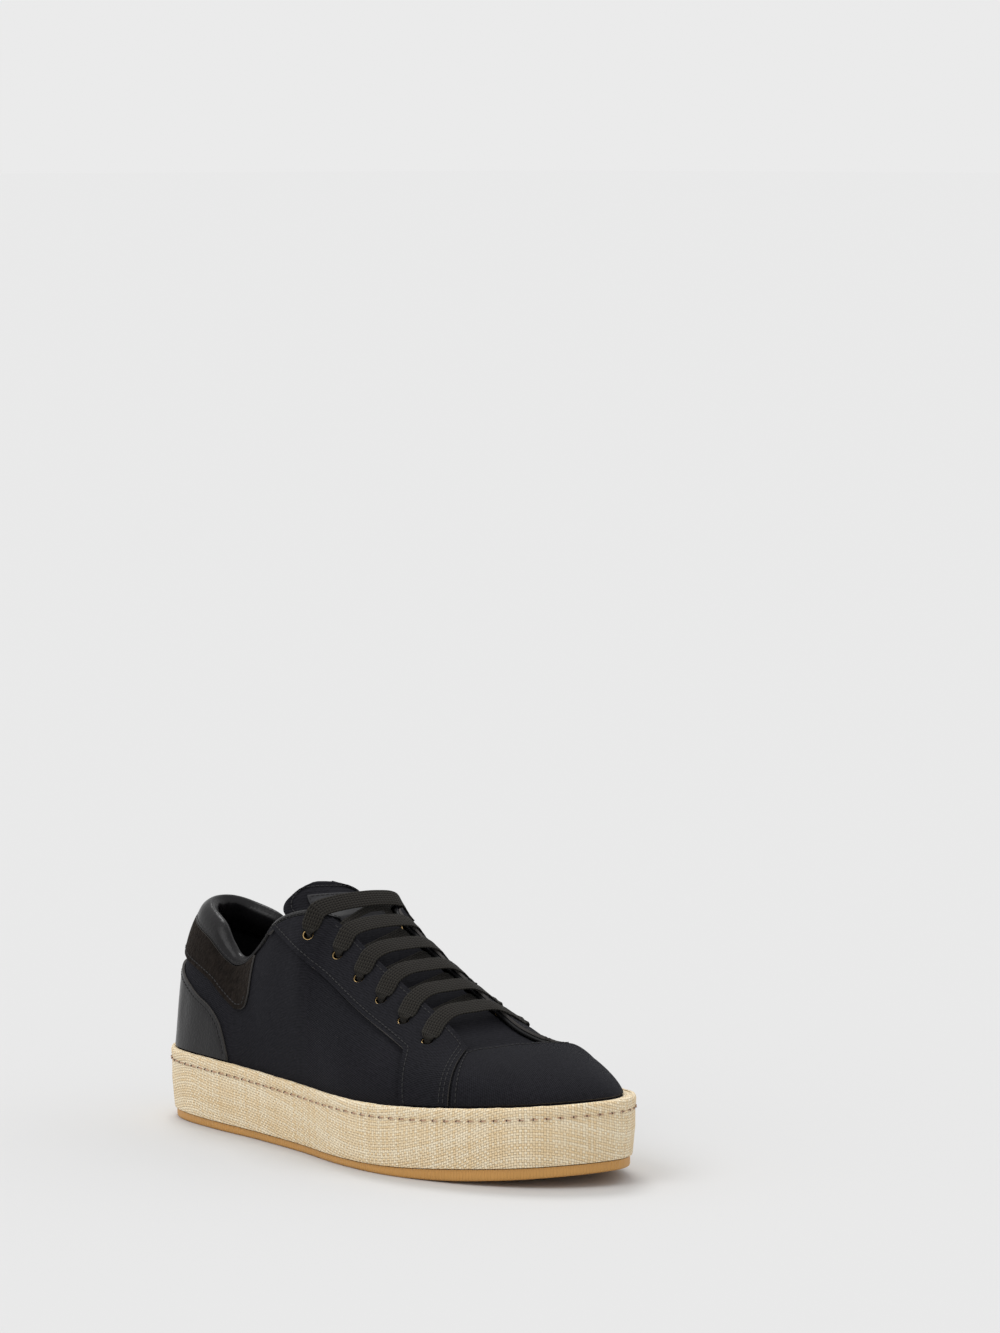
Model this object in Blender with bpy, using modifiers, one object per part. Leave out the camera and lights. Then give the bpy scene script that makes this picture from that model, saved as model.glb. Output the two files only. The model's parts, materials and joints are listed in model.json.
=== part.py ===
# Low-top sneaker, right shoe: toe to +X, big-toe side to +Y, standing on z = 0.
# Every upper panel is cut from one function, skin(), which runs ribs from the sole to the top line.

import math
from functools import lru_cache

import bmesh
import bpy
import mathutils
import numpy as np

# Driving sizes, in metres
LENGTH = 0.300            # sole, heel to toe
BALL_WIDTH = 0.110        # sole, across the ball
SOLE_HEIGHT = 0.035       # floor to the top of the wrapped rim at the heel
TOP_HEIGHT = 0.110        # floor to the collar at the heel
WALL = 0.0018             # upper
OVERLAY = 0.0012          # leather or twill panel on the upper
CAP_THICK = 0.0008        # toe cap
GAP = 0.00035             # between neighbouring pieces
PANEL_LIFT = 0.0004       # overlays off the upper
STEP_LIFT = 0.0007        # the same where the eyestay steps up beside the collar band
RIM_FLARE = 0.0014        # the wrapped wall leans out by this much towards its top
GUM_INSET = 0.0012        # tread edge behind the foot of the wrapped wall
RIM_ROUND = 0.0010
RIM_LEAN = 0.0002         # the wall stands this far in at half its height
WRAP_TUCK = 0.0008        # the wrap turns in at its foot
LEDGE_FALL = 0.0002       # the ledge falls towards the upper
TREAD_CHAMFER_IN = 0.0016
TREAD_CHAMFER_UP = 0.0012
INSOLE_CLEAR = 0.0009     # insole to the lining
INSOLE_THICK = 0.0035
TONGUE_THICK = 0.0030
TONGUE_DROP = 0.0016      # tongue below the lining of the eyestays, less at its foot
TONGUE_SIDE = 0.009       # tongue that lies under each eyestay at the toe
TONGUE_SIDE_TOP = 0.005   # and at the top
TONGUE_RISE = 0.0146      # its free end above the top of the eyestays
TONGUE_REACH = 0.024      # and behind it
TONGUE_BEND = 0.50        # how much of the rise comes late
TONGUE_HALF = 0.0240      # half width of the free end
TONGUE_CURL = 0.018       # its sides curl back by this much
TONGUE_UNCURL = 0.70      # share of the curl that is gone at the tip
TONGUE_TAPER = 0.72       # share of the width that is gone at the tip
TONGUE_ROUND = 0.10       # share by which its corners stay behind
TONGUE_SKEW = 0.08        # the outer side reaches further than the inner one
TONGUE_SHIFT = 0.0022     # the free end leans to the outer side
TONGUE_TWIST = 0.16       # lead of the inner side / width
TONGUE_TUCK = 0.0035      # tongue under the toe cap
TONGUE_FRONT = 0.235      # its front edge runs this share of the outline to both sides of the toe
TONGUE_SEAT = 0.15        # share of the drop that is left at its foot
PATCH_THICK = 0.0009
EYELET_COUNT = 6
EYELET_SIDES = 8
EYELET_BORE = 0.0022      # radius
EYELET_WALL = 0.0004
EYELET_FLANGE = 0.0030    # radius, on the inside of the upper
EYELET_EDGE = 0.0125      # eyelet row to throat edge, at the top
EYELET_EDGE_END = 0.0178  # and at the toe
CROWN = 0.07              # rise of the instep between the eyestays, as a handle / throat width
LACE_WIDTH = 0.0090
LACE_THICK = 0.0008
LACE_ARCH = 0.0006         # the bars' rise in the middle
LACE_DIP = 0.0026          # the crossings' fall between the eyestays
LACE_END = 0.86           # the bars' ends, as a share of the section that ends at their eyelets
LACE_FOLD = 0.05          # and the folds beyond them
BAND_THICK = 0.0009       # leather of the collar band
BAND_CLEAR = 0.0007       # its fold above the upper's edge
BAND_CREST = 0.0016       # its top above the upper's edge
BAND_SHOULDER = 0.0004    # how much lower it is on both sides of the top
PIN_DEPTH = 0.012         # cutters of the eyelet holes
WELD = 0.0004             # panel corners closer than this become one
OUTWARD = 0.012           # pull of the sole's outline on the way a rib leans out

# Sole outline from the heel centre, round the outer side to the toe and back:
# along as shares of LENGTH, across as shares of BALL_WIDTH
OUTLINE = [
    (0.005, 0.000), (0.021, -0.156), (0.070, -0.269), (0.168, -0.331), (0.300, -0.370),
    (0.433, -0.430), (0.548, -0.504), (0.650, -0.527), (0.750, -0.487), (0.833, -0.412),
    (0.912, -0.287), (0.967, -0.121), (0.990, 0.042), (0.972, 0.178), (0.912, 0.322),
    (0.830, 0.410), (0.750, 0.460), (0.667, 0.472), (0.583, 0.429), (0.500, 0.364),
    (0.400, 0.310), (0.300, 0.310), (0.167, 0.339), (0.066, 0.285), (0.015, 0.166),
]
TOE_ROW = 12

# Side of the sole: along as shares of LENGTH, the rest as shares of SOLE_HEIGHT
# along, tread bottom, gum line, rim top, recess bed
SIDE = [
    (0.00, 0.030, 0.150, 1.003, 0.50),
    (0.05, 0.000, 0.138, 1.003, 0.50),
    (0.20, 0.000, 0.124, 1.000, 0.49),
    (0.40, 0.000, 0.118, 0.958, 0.45),
    (0.60, 0.000, 0.118, 0.945, 0.41),
    (0.70, 0.000, 0.142, 0.966, 0.43),
    (0.80, 0.036, 0.205, 1.020, 0.49),
    (0.90, 0.112, 0.276, 1.090, 0.58),
    (1.00, 0.215, 0.363, 1.170, 0.68),
]

# Ledge of the rim outside the upper: along as shares of LENGTH, width of the ledge
LEDGE = [(0.0, 0.0030), (0.2, 0.0036), (0.6, 0.0043), (0.85, 0.0054), (1.0, 0.0068)]

# Top line of the upper, from the heel centre to the middle of the throat's front end:
# share of the half outline; outer side along / LENGTH, across / BALL_WIDTH; inner side the same;
# height / TOP_HEIGHT; tilt of the skin there in degrees from upright; swell of the wall above
# the foot / BALL_WIDTH; lower handle / rise; upper handle / chord
TOP = [
    (0.000, 0.073, 0.000, 0.073, 0.000, 0.983, 50, -0.036, 0.40, 0.28),
    (0.050, 0.081, 0.070, 0.081, 0.070, 0.977, 48, -0.032, 0.40, 0.27),
    (0.100, 0.105, 0.128, 0.105, 0.128, 0.951, 43, -0.023, 0.40, 0.26),
    (0.150, 0.153, 0.172, 0.153, 0.172, 0.901, 44, -0.014, 0.40, 0.22),
    (0.200, 0.188, 0.195, 0.188, 0.195, 0.815, 42, -0.005, 0.40, 0.20),
    (0.240, 0.215, 0.209, 0.215, 0.209, 0.769, 36, 0.000, 0.40, 0.20),
    (0.270, 0.243, 0.223, 0.243, 0.223, 0.783, 28, 0.005, 0.40, 0.22),
    (0.310, 0.289, 0.255, 0.289, 0.255, 0.872, 22, 0.005, 0.40, 0.26),
    (0.350, 0.322, 0.268, 0.322, 0.268, 0.960, 24, 0.005, 0.40, 0.28),
    (0.390, 0.359, 0.262, 0.359, 0.262, 1.008, 30, 0.005, 0.40, 0.30),
    (0.420, 0.397, 0.250, 0.397, 0.250, 1.030, 38, 0.005, 0.42, 0.32),
    (0.443, 0.417, 0.212, 0.417, 0.212, 1.018, 45, 0.005, 0.43, 0.34),
    (0.460, 0.435, 0.186, 0.435, 0.186, 0.987, 47, 0.005, 0.44, 0.36),
    (0.480, 0.459, 0.176, 0.459, 0.176, 0.951, 47, 0.005, 0.45, 0.38),
    (0.550, 0.528, 0.173, 0.528, 0.173, 0.838, 49, 0.005, 0.48, 0.41),
    (0.620, 0.598, 0.171, 0.598, 0.171, 0.733, 53, 0.005, 0.52, 0.43),
    (0.690, 0.671, 0.170, 0.671, 0.170, 0.632, 58, 0.004, 0.56, 0.45),
    (0.725, 0.713, 0.178, 0.713, 0.184, 0.568, 63, 0.003, 0.60, 0.45),
    (0.745, 0.735, 0.196, 0.750, 0.214, 0.530, 72, 0.002, 0.63, 0.45),
    (0.765, 0.740, 0.186, 0.792, 0.236, 0.518, 76, 0.002, 0.60, 0.43),
    (0.800, 0.745, 0.141, 0.796, 0.223, 0.523, 80, 0.000, 0.58, 0.42),
    (0.870, 0.757, 0.068, 0.793, 0.168, 0.527, 84, 0.000, 0.47, 0.37),
    (0.930, 0.768, 0.000, 0.787, 0.114, 0.532, 86, 0.000, 0.43, 0.35),
    (1.000, 0.778, -0.055, 0.778, 0.055, 0.532, 86, 0.000, 0.43, 0.35),
]

RIB_STEPS = 32
DIG = 0.002               # the ribs start this far below the rim top

# Share of the half outline where each panel begins or ends
EYESTAY_BACK = 0.340
LEG_FRONT = 0.748
EYELET_FIRST = 0.431
EYELET_LAST = 0.688
SOLE_COUNT = 68
COLUMN = 1 / 36           # spacing of the upper's ribs
BAND_END = 16 * COLUMN
BAND_STEP = 0.008         # the eyestay reaches the top line this share past the band
TONGUE_TOP_SHARE = 0.452
TONGUE_BASE_SHARE = 0.742
TONGUE_COLUMNS = 11
TONGUE_ROWS = 14
TONGUE_TIP = (0.18, 0.36, 0.54, 0.70, 0.84, 0.94, 1.0)  # rows of the free end
PATCH_ROWS = (1, 3)       # the patch: from this many rows below the throat's top row to above it
PATCH_MARGIN = 2          # columns left beside it
LEVELS = (0, 0.13, 0.28, 0.43, 0.58, 0.72, 0.86, 1.0)  # rows down a rib

# Eyestay: share, height of its lower edge / TOP_HEIGHT
EYESTAY_EDGE = [
    (0.340, 0.945), (0.359, 0.930), (0.410, 0.869), (0.471, 0.772), (0.552, 0.656),
    (0.630, 0.560), (0.650, 0.534), (0.658, 0.522), (0.664, 0.500),
]
LEG_BACK = 0.670
LEG_ROUND = 0.012         # the share in which its rear edge turns down into the leg

# Heel counter: share, height of its upper edge / TOP_HEIGHT
COUNTER_EDGE = [
    (0.00, 0.705), (0.05, 0.695), (0.10, 0.650), (0.15, 0.585), (0.19, 0.540),
    (0.220, 0.478), (0.235, 0.410), (0.246, 0.335),
]

# Heel patch: share, height of its lower edge / TOP_HEIGHT
PATCH_EDGE = [
    (0.00, 0.770), (0.06, 0.750), (0.12, 0.710), (0.176, 0.660), (0.218, 0.600),
    (0.250, 0.562), (0.264, 0.555), (0.280, 0.575), (0.289, 0.640),
]

# Collar band: share, drop of its outer and inner legs, padding behind the inner leg
BAND = [
    (0.00, 0.0100, 0.0190, 0.0032), (0.15, 0.0096, 0.0180, 0.0030),
    (0.22, 0.0060, 0.0140, 0.0020), (0.27, 0.0026, 0.0080, 0.0010),
    (0.35, 0.0022, 0.0050, 0.0004), (0.44, 0.0022, 0.0040, 0.0002),
]


def hermite(table, at, period=None):
    # smooth curve through the rows of a table: first column the place, the rest values
    rows = np.asarray(table, dtype=float)
    at = np.asarray(at, dtype=float)
    if period:
        before, after = rows[-2:].copy(), rows[:2].copy()
        before[:, 0] -= period
        after[:, 0] += period
        rows = np.vstack([before, rows, after])
        at = np.mod(at, period)
    knots, values = rows[:, 0], rows[:, 1:]
    slopes = np.empty_like(values)
    slopes[1:-1] = (values[2:] - values[:-2]) / (knots[2:] - knots[:-2])[:, None]
    slopes[0] = (values[1] - values[0]) / (knots[1] - knots[0])
    slopes[-1] = (values[-1] - values[-2]) / (knots[-1] - knots[-2])
    index = np.clip(np.searchsorted(knots, at, side="right") - 1, 0, len(knots) - 2)
    width = knots[index + 1] - knots[index]
    t = np.clip((at - knots[index]) / width, 0.0, 1.0)[..., None]
    width = width[..., None]
    return (
        (2 * t**3 - 3 * t**2 + 1) * values[index] + (t**3 - 2 * t**2 + t) * width * slopes[index]
        + (3 * t**2 - 2 * t**3) * values[index + 1] + (t**3 - t**2) * width * slopes[index + 1]
    )


def unit(v):
    return v / np.maximum(np.linalg.norm(v, axis=-1, keepdims=True), 1e-9)


def outline_table():
    # the outline with a turn of 0 at the heel, 1 at the toe and 2 back at the heel
    points = np.array(OUTLINE) * (LENGTH, BALL_WIDTH)
    steps = np.linalg.norm(np.roll(points, -1, axis=0) - points, axis=1)
    run = np.concatenate([[0.0], np.cumsum(steps)])
    toe = run[TOE_ROW]
    turn = np.where(run <= toe, run / toe, 1 + (run - toe) / (run[-1] - toe))[:-1]
    return np.column_stack([turn, points])


OUTLINE_TABLE = outline_table()


def outline(turn, inset=0.0):
    # a point of the sole's outline, moved inwards by inset
    step = 0.002
    turn = np.asarray(turn, dtype=float)
    along = unit(hermite(OUTLINE_TABLE, turn + step, 2.0) - hermite(OUTLINE_TABLE, turn - step, 2.0))
    inward = np.stack([-along[..., 1], along[..., 0]], axis=-1)
    return hermite(OUTLINE_TABLE, turn, 2.0) + inward * np.asarray(inset)[..., None]


def side_height(x, column):
    return hermite(SIDE, np.clip(x / LENGTH, 0, 1))[..., column] * SOLE_HEIGHT


def tread_height(x):
    # the smooth curve never dips below the floor
    return np.maximum(side_height(x, 0), 0.0)


def gum_height(x):
    return side_height(x, 1)


def rim_height(x):
    return side_height(x, 2)


def bed_height(x):
    return side_height(x, 3)


def ledge(turn):
    x = hermite(OUTLINE_TABLE, turn, 2.0)[..., 0]
    return hermite(LEDGE, np.clip(x / LENGTH, 0, 1))[..., 0]


def top_table():
    # the top line as a closed table over the turn, outer side first
    outer = [(row[0], row[1], -row[2], *row[5:]) for row in TOP]
    inner = [(2 - row[0], row[3], row[4], *row[5:]) for row in TOP[1:-1]]
    table = np.array(outer + inner[::-1], dtype=float)
    table[:, 1:4] *= (LENGTH, BALL_WIDTH, TOP_HEIGHT)
    table[:, 5] *= BALL_WIDTH
    return table


TOP_TABLE = top_table()


@lru_cache(maxsize=None)
def rib(turn):
    # one rib from below the rim to the top line: points and their drop below the top line
    foot = outline(turn, ledge(turn))
    base = np.array([foot[0], foot[1], rim_height(foot[0]) - DIG])
    values = hermite(TOP_TABLE, turn, 2.0)
    top, (tilt, swell, low, high) = values[:3], values[3:]
    normal = unit(outline(turn) - outline(turn, 0.001))
    reach = (base - top)[:2]
    out = unit(reach + normal * OUTWARD)
    tilt = math.radians(tilt)
    chord = np.linalg.norm(base - top)
    rise = top[2] - base[2]
    lower = base + np.array([*(normal * swell), low * rise])
    upper = top + np.array([*(out * math.sin(tilt)), -math.cos(tilt)]) * high * chord
    t = np.linspace(0, 1, RIB_STEPS + 1)[:, None]
    points = (1 - t)**3 * base + 3 * t * (1 - t)**2 * lower + 3 * t**2 * (1 - t) * upper + t**3 * top
    points = points[::-1]
    drops = np.concatenate([[0.0], np.cumsum(np.linalg.norm(np.diff(points, axis=0), axis=1))])
    return points, drops


def on_rib(turn, drop):
    # below the foot of the rib the skin goes straight down, above the top line straight on
    points, drops = rib(round(float(turn) % 2.0, 6))
    if drop < 0:
        return points[0] + unit(points[0] - points[1]) * -drop
    if drop > drops[-1]:
        return points[-1] - np.array([0, 0, drop - drops[-1]])
    return np.array([np.interp(drop, drops, points[:, i]) for i in range(3)])


def rib_length(turn):
    return rib(round(float(turn) % 2.0, 6))[1][-1]


def skin(turn, drop, lift=0.0):
    # a point of the upper's outer surface, drop below the top line, lifted off it by lift
    here = on_rib(turn, drop)
    if lift == 0:
        return here
    step, reach = 0.003, 0.0012
    share = drop / rib_length(turn)
    ahead = on_rib(turn + step, share * rib_length(turn + step))
    behind = on_rib(turn - step, share * rib_length(turn - step))
    down = on_rib(turn, drop + reach) - on_rib(turn, drop - reach)
    return here + unit(np.cross(down, ahead - behind)) * lift


def drop_at(turn, height):
    # the drop where a rib passes a height
    points, drops = rib(round(float(turn) % 2.0, 6))
    order = np.argsort(points[:, 2])
    return float(np.interp(height, points[order, 2], drops[order]))


def both_sides(share, side):
    # the turn of a share on the outer side (-1) or the inner side (+1)
    return share if side < 0 else 2 - share


def material(name, color, roughness, metallic=0.0):
    found = bpy.data.materials.get(name)
    if found:
        return found
    made = bpy.data.materials.new(name)
    made.use_nodes = True
    shader = made.node_tree.nodes["Principled BSDF"]
    shader.inputs["Base Color"].default_value = (*color, 1.0)
    shader.inputs["Roughness"].default_value = roughness
    shader.inputs["Metallic"].default_value = metallic
    return made


def add_object(name, mesh, look, home):
    mesh.materials.append(look)
    made = bpy.data.objects.new(name, mesh)
    home.objects.link(made)
    return made


def grid_mesh(name, grid, closed=False):
    # quads over rows of points
    rows, columns = len(grid), len(grid[0])
    work = bmesh.new()
    points = [[work.verts.new(p) for p in row] for row in grid]
    for i in range(rows if closed else rows - 1):
        after = (i + 1) % rows
        for j in range(columns - 1):
            work.faces.new([points[i][j], points[i][j + 1], points[after][j + 1], points[after][j]])
    mesh = bpy.data.meshes.new(name)
    work.to_mesh(mesh)
    work.free()
    return mesh


def loft_mesh(name, rings, caps=True):
    # rings of points, each closed on itself; the end caps run in strips from side to side
    count = len(rings[0])
    work = bmesh.new()
    loops = [[work.verts.new(p) for p in ring] for ring in rings]
    for low, high in zip(loops, loops[1:]):
        for i in range(count):
            after = (i + 1) % count
            work.faces.new([low[i], low[after], high[after], high[i]])
    if caps:
        for loop, flip in ((loops[0], True), (loops[-1], False)):
            for i in range(count // 2):
                corners = [loop[i], loop[(i + 1) % count], loop[-i - 1], loop[-i]]
                corners = list(dict.fromkeys(corners))
                work.faces.new(corners[::-1] if flip else corners)
    bmesh.ops.recalc_face_normals(work, faces=work.faces)
    mesh = bpy.data.meshes.new(name)
    work.to_mesh(mesh)
    work.free()
    return mesh


def smooth(made, angle=40):
    made.data.shade_smooth()
    made.data.set_sharp_from_angle(angle=math.radians(angle))
    return made


def thicken(made, thickness, outwards):
    shell = made.modifiers.new("thickness", "SOLIDIFY")
    shell.thickness = thickness
    shell.offset = 1.0 if outwards else -1.0
    shell.use_even_offset = outwards or thickness < TONGUE_THICK
    return made


def sole_ring(count, inset, height, lift=0.0):
    ring = []
    for turn in np.arange(count) * 2.0 / count:
        x, y = outline(turn, inset(turn) if callable(inset) else inset)
        ring.append((x, y, height(outline(turn)[0]) + lift))
    return ring


def add_outsole(parts):
    rings = [
        sole_ring(SOLE_COUNT, RIM_FLARE + GUM_INSET + TREAD_CHAMFER_IN, tread_height),
        sole_ring(SOLE_COUNT, RIM_FLARE + GUM_INSET, tread_height, TREAD_CHAMFER_UP),
        sole_ring(SOLE_COUNT, RIM_FLARE + GUM_INSET, gum_height, -GAP),
    ]
    return smooth(add_object("outsole", loft_mesh("outsole", rings),
                             material("gum_rubber", (0.60, 0.38, 0.15), 0.55), parts), 30)


def add_midsole(parts):
    inner = lambda turn: ledge(turn) - GAP
    middle = lambda x: 0.5 * (gum_height(x) + rim_height(x))
    rings = [
        sole_ring(SOLE_COUNT, RIM_FLARE + WRAP_TUCK, gum_height),
        sole_ring(SOLE_COUNT, RIM_FLARE, gum_height, RIM_ROUND),
        sole_ring(SOLE_COUNT, RIM_LEAN, middle),
        sole_ring(SOLE_COUNT, 0.0, rim_height, -2 * RIM_ROUND),
        sole_ring(SOLE_COUNT, RIM_ROUND, rim_height),
        sole_ring(SOLE_COUNT, inner, rim_height, -LEDGE_FALL),
        sole_ring(SOLE_COUNT, inner, bed_height),
    ]
    return smooth(add_object("midsole", loft_mesh("midsole", rings),
                             material("raffia", (0.80, 0.68, 0.43), 0.80), parts))


def add_insole(parts):
    inner = lambda turn: ledge(turn) + WALL + INSOLE_CLEAR
    rings = [
        sole_ring(SOLE_COUNT, inner, bed_height, GAP),
        sole_ring(SOLE_COUNT, inner, bed_height, GAP + INSOLE_THICK),
    ]
    return smooth(add_object("insole", loft_mesh("insole", rings),
                             material("leather_lining", (0.02, 0.02, 0.022), 0.55), parts))


def foot_drop(turn):
    # the upper's lower edge, just above the bed of the recess
    foot_x = outline(turn)[0]
    return rib_length(turn) + rim_height(foot_x) - DIG - bed_height(foot_x) - 2 * GAP


def ribs():
    # the turns of the upper's ribs: even ones, and three more at each upper corner of the throat
    extra = [BAND_END - 0.5 * COLUMN, BAND_END + 0.5 * BAND_STEP, BAND_END + BAND_STEP]
    even = np.arange(0, 2 - 0.5 * COLUMN, COLUMN)
    return sorted([*even, *extra, *(2 - turn for turn in extra)])


def add_upper(parts):
    grid = []
    for turn in ribs():
        length = rib_length(turn)
        grid.append([*(on_rib(turn, length * level) for level in LEVELS), on_rib(turn, foot_drop(turn))])
    made = add_object("upper", grid_mesh("upper", grid, closed=True), twill(), parts)
    return smooth(thicken(made, WALL, outwards=False))


def panel(name, places, edge, look, parts, thickness=OVERLAY):
    # an overlay between two curves of the skin: edge(turn) gives its upper and lower drop;
    # its rows are the upper's own, clipped to the two curves, so that the two meet evenly
    grid = []
    for turn in places:
        top, bottom = edge(turn)
        rows = [min(max(level * rib_length(turn), top), bottom) for level in LEVELS]
        rows[0], rows[-1] = top, bottom
        rising = BAND_END < share_of(turn) < BAND_END + 1.1 * BAND_STEP
        lift = STEP_LIFT if rising else PANEL_LIFT
        grid.append([skin(turn, drop, lift) for drop in rows])
    mesh = grid_mesh(name, grid)
    work = bmesh.new()
    work.from_mesh(mesh)
    bmesh.ops.remove_doubles(work, verts=work.verts, dist=WELD)
    work.to_mesh(mesh)
    work.free()
    made = add_object(name, mesh, look, parts)
    return smooth(thicken(made, thickness, outwards=True))


def columns(first, last):
    # the upper's own ribs between two turns, and the two turns themselves
    every = [turn + lap for lap in (-2, 0, 2) for turn in ribs()]
    margin = 0.05 * COLUMN
    return [first, *(turn for turn in every if first + margin < turn < last - margin), last]


def share_of(turn):
    turn = turn % 2.0
    return turn if turn <= 1 else 2 - turn


def rim_drop(turn):
    # just above the rim top, where the outer panels end
    return rib_length(turn) - DIG - 2 * GAP


def add_eyestay(name, side, parts):
    corner = LEG_BACK - LEG_ROUND

    def edge(turn):
        share = share_of(turn)
        top = band_drop(share) + GAP if share < BAND_END + 0.9 * BAND_STEP else 0.0
        if share >= LEG_BACK:
            return top, rim_drop(turn)
        low = drop_at(turn, hermite(EYESTAY_EDGE, share)[0] * TOP_HEIGHT)
        if share > corner:
            low += (rim_drop(turn) - low) * (share - corner) / LEG_ROUND
        return top, max(low, top + 0.0015)

    before = BAND_END + 0.5 * BAND_STEP
    shares = [*columns(EYESTAY_BACK, before), *columns(BAND_END + BAND_STEP, corner)]
    shares += [corner + LEG_ROUND * step / 4 for step in (1, 2, 3)]
    shares += columns(LEG_BACK, LEG_FRONT)
    places = [both_sides(share, side) for share in shares]
    return panel(name, places if side < 0 else places[::-1], edge, twill(), parts)


def twill():
    return material("twill", (0.012, 0.013, 0.018), 0.85)


def black_leather():
    return material("leather_black", (0.016, 0.016, 0.018), 0.35)


def add_toe_cap(parts):
    start = LEG_FRONT + 0.0045
    places = columns(start, 2 - start)
    return panel("toe_cap", places, lambda turn: (0.0, rim_drop(turn)), twill(), parts, CAP_THICK)


def add_heel_counter(parts):
    def edge(turn):
        height = hermite(COUNTER_EDGE, share_of(turn))[0] * TOP_HEIGHT
        return min(drop_at(turn, height), rim_drop(turn) - 0.001), rim_drop(turn)

    last = COUNTER_EDGE[-1][0]
    return panel("heel_counter", columns(-last, last), edge, black_leather(), parts)


def add_heel_patch(parts):
    def edge(turn):
        share = share_of(turn)
        height = hermite(PATCH_EDGE, share)[0] * TOP_HEIGHT
        return band_drop(share) + GAP, drop_at(turn, height)

    last = PATCH_EDGE[-1][0]
    look = material("suede", (0.022, 0.018, 0.015), 0.95)
    return panel("heel_patch", columns(-last, last), edge, look, parts)


def band_drop(share):
    return float(hermite(BAND, share)[0])


def add_collar_binding(parts):
    # a leather band folded over the top of the collar, padded on the inside
    rings = []
    for turn in columns(-BAND_END, BAND_END):
        outer, inner, pad = hermite(BAND, share_of(turn))
        front, back = 1.2 * GAP, WALL + 2.2 * GAP
        cross = [
            (outer, front), (outer, front + BAND_THICK), (outer * 0.35, front + BAND_THICK + pad * 0.15),
            (BAND_SHOULDER - BAND_CREST, front), (-BAND_CREST, -0.4 * (WALL + pad)),
            (-BAND_SHOULDER, -(back + pad * 0.8)),
            (inner * 0.35, -(back + BAND_THICK + pad)), (inner, -(back + BAND_THICK)),
            (inner, -back), (-BAND_CLEAR, -back), (-BAND_CLEAR, front),
        ]
        rings.append([skin(turn, drop, lift) for drop, lift in cross])
    return smooth(add_object("collar_binding", ring_tube("collar_binding", rings),
                             black_leather(), parts), 50)


def ring_tube(name, rings):
    # a tube over rings of points with an n-gon at each end
    count = len(rings[0])
    work = bmesh.new()
    loops = [[work.verts.new(p) for p in ring] for ring in rings]
    for low, high in zip(loops, loops[1:]):
        for i in range(count):
            after = (i + 1) % count
            work.faces.new([low[i], low[after], high[after], high[i]])
    work.faces.new(loops[0][::-1])
    work.faces.new(loops[-1])
    bmesh.ops.recalc_face_normals(work, faces=work.faces)
    bmesh.ops.triangulate(work, faces=[f for f in work.faces if len(f.verts) > 4])
    mesh = bpy.data.meshes.new(name)
    work.to_mesh(mesh)
    work.free()
    return mesh


def across(share, side_drop, lift, count):
    # a section over the instep, from the outer eyestay across the throat to the inner one
    outer_turn, inner_turn = share, 2 - share
    outer = [skin(outer_turn, d, lift) for d in np.linspace(side_drop, 0.0, 5)]
    inner = [skin(inner_turn, d, lift) for d in np.linspace(0.0, side_drop, 5)]
    start, end = outer[-1], inner[0]
    reach = CROWN * np.linalg.norm(end - start)
    first = start + unit(outer[-1] - outer[-2]) * reach
    second = end + unit(inner[0] - inner[1]) * reach
    t = np.linspace(0, 1, 11)[1:-1, None]
    bridge = (1 - t)**3 * start + 3 * t * (1 - t)**2 * first + 3 * t**2 * (1 - t) * second + t**3 * end
    points = np.array([*outer, *bridge, *inner])
    run = np.concatenate([[0.0], np.cumsum(np.linalg.norm(np.diff(points, axis=0), axis=1))])
    places = np.linspace(0, run[-1], count)
    return np.column_stack([np.interp(places, run, points[:, i]) for i in range(3)])


def tongue_row(share, count, lift=0.0):
    top = (TONGUE_BASE_SHARE - share) / (TONGUE_BASE_SHARE - TONGUE_TOP_SHARE)
    side = TONGUE_SIDE + (TONGUE_SIDE_TOP - TONGUE_SIDE) * top
    return across(share, side, lift - (WALL + GAP + TONGUE_DROP * min(1.0, TONGUE_SEAT + 2.5 * top)), count)


def tongue_grid():
    # rows from under the toe cap up to the rounded tip
    rows = [tongue_row(s, TONGUE_COLUMNS)
            for s in np.linspace(TONGUE_BASE_SHARE, TONGUE_TOP_SHARE, TONGUE_ROWS)]
    # in front it follows the slanting end of the throat, tucked under the toe cap
    front = []
    for w in np.linspace(-1, 1, TONGUE_COLUMNS):
        tuck = TONGUE_TUCK + (TONGUE_SIDE - TONGUE_TUCK) * w * w
        front.append(skin(1 + TONGUE_FRONT * w, tuck, -(WALL + 6 * GAP + TONGUE_SEAT * TONGUE_DROP)))
    rows[:0] = [front + (rows[0] - front) * share for share in (0.0, 0.5)]
    last = rows[-1]
    centre = last[TONGUE_COLUMNS // 2]
    for step in TONGUE_TIP:
        half = TONGUE_HALF * (1 - TONGUE_TAPER * step**5)
        curl = TONGUE_CURL * (1 - TONGUE_UNCURL * step)
        row = []
        for i, w in enumerate(np.linspace(-1, 1, TONGUE_COLUMNS)):
            y = half * w
            up = step * (1 - TONGUE_ROUND * w**4 - TONGUE_SKEW * y / TONGUE_HALF)
            climb = np.array([-TONGUE_REACH * up, 0, TONGUE_RISE * up * (1 - TONGUE_BEND * (1 - up))])
            back = curl * (y / TONGUE_HALF)**2
            tip = centre + climb + np.array([TONGUE_TWIST * y * step - back, y - TONGUE_SHIFT, -0.2 * back])
            keep = max(0.0, 1 - step / 0.5)**2
            row.append(tip * (1 - keep) + (last[i] + climb) * keep)
        rows.append(np.array(row))
    return np.array(rows)


def add_tongue(parts):
    made = add_object("tongue", grid_mesh("tongue", tongue_grid()), twill(), parts)
    return smooth(thicken(made, TONGUE_THICK, outwards=False))


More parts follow.
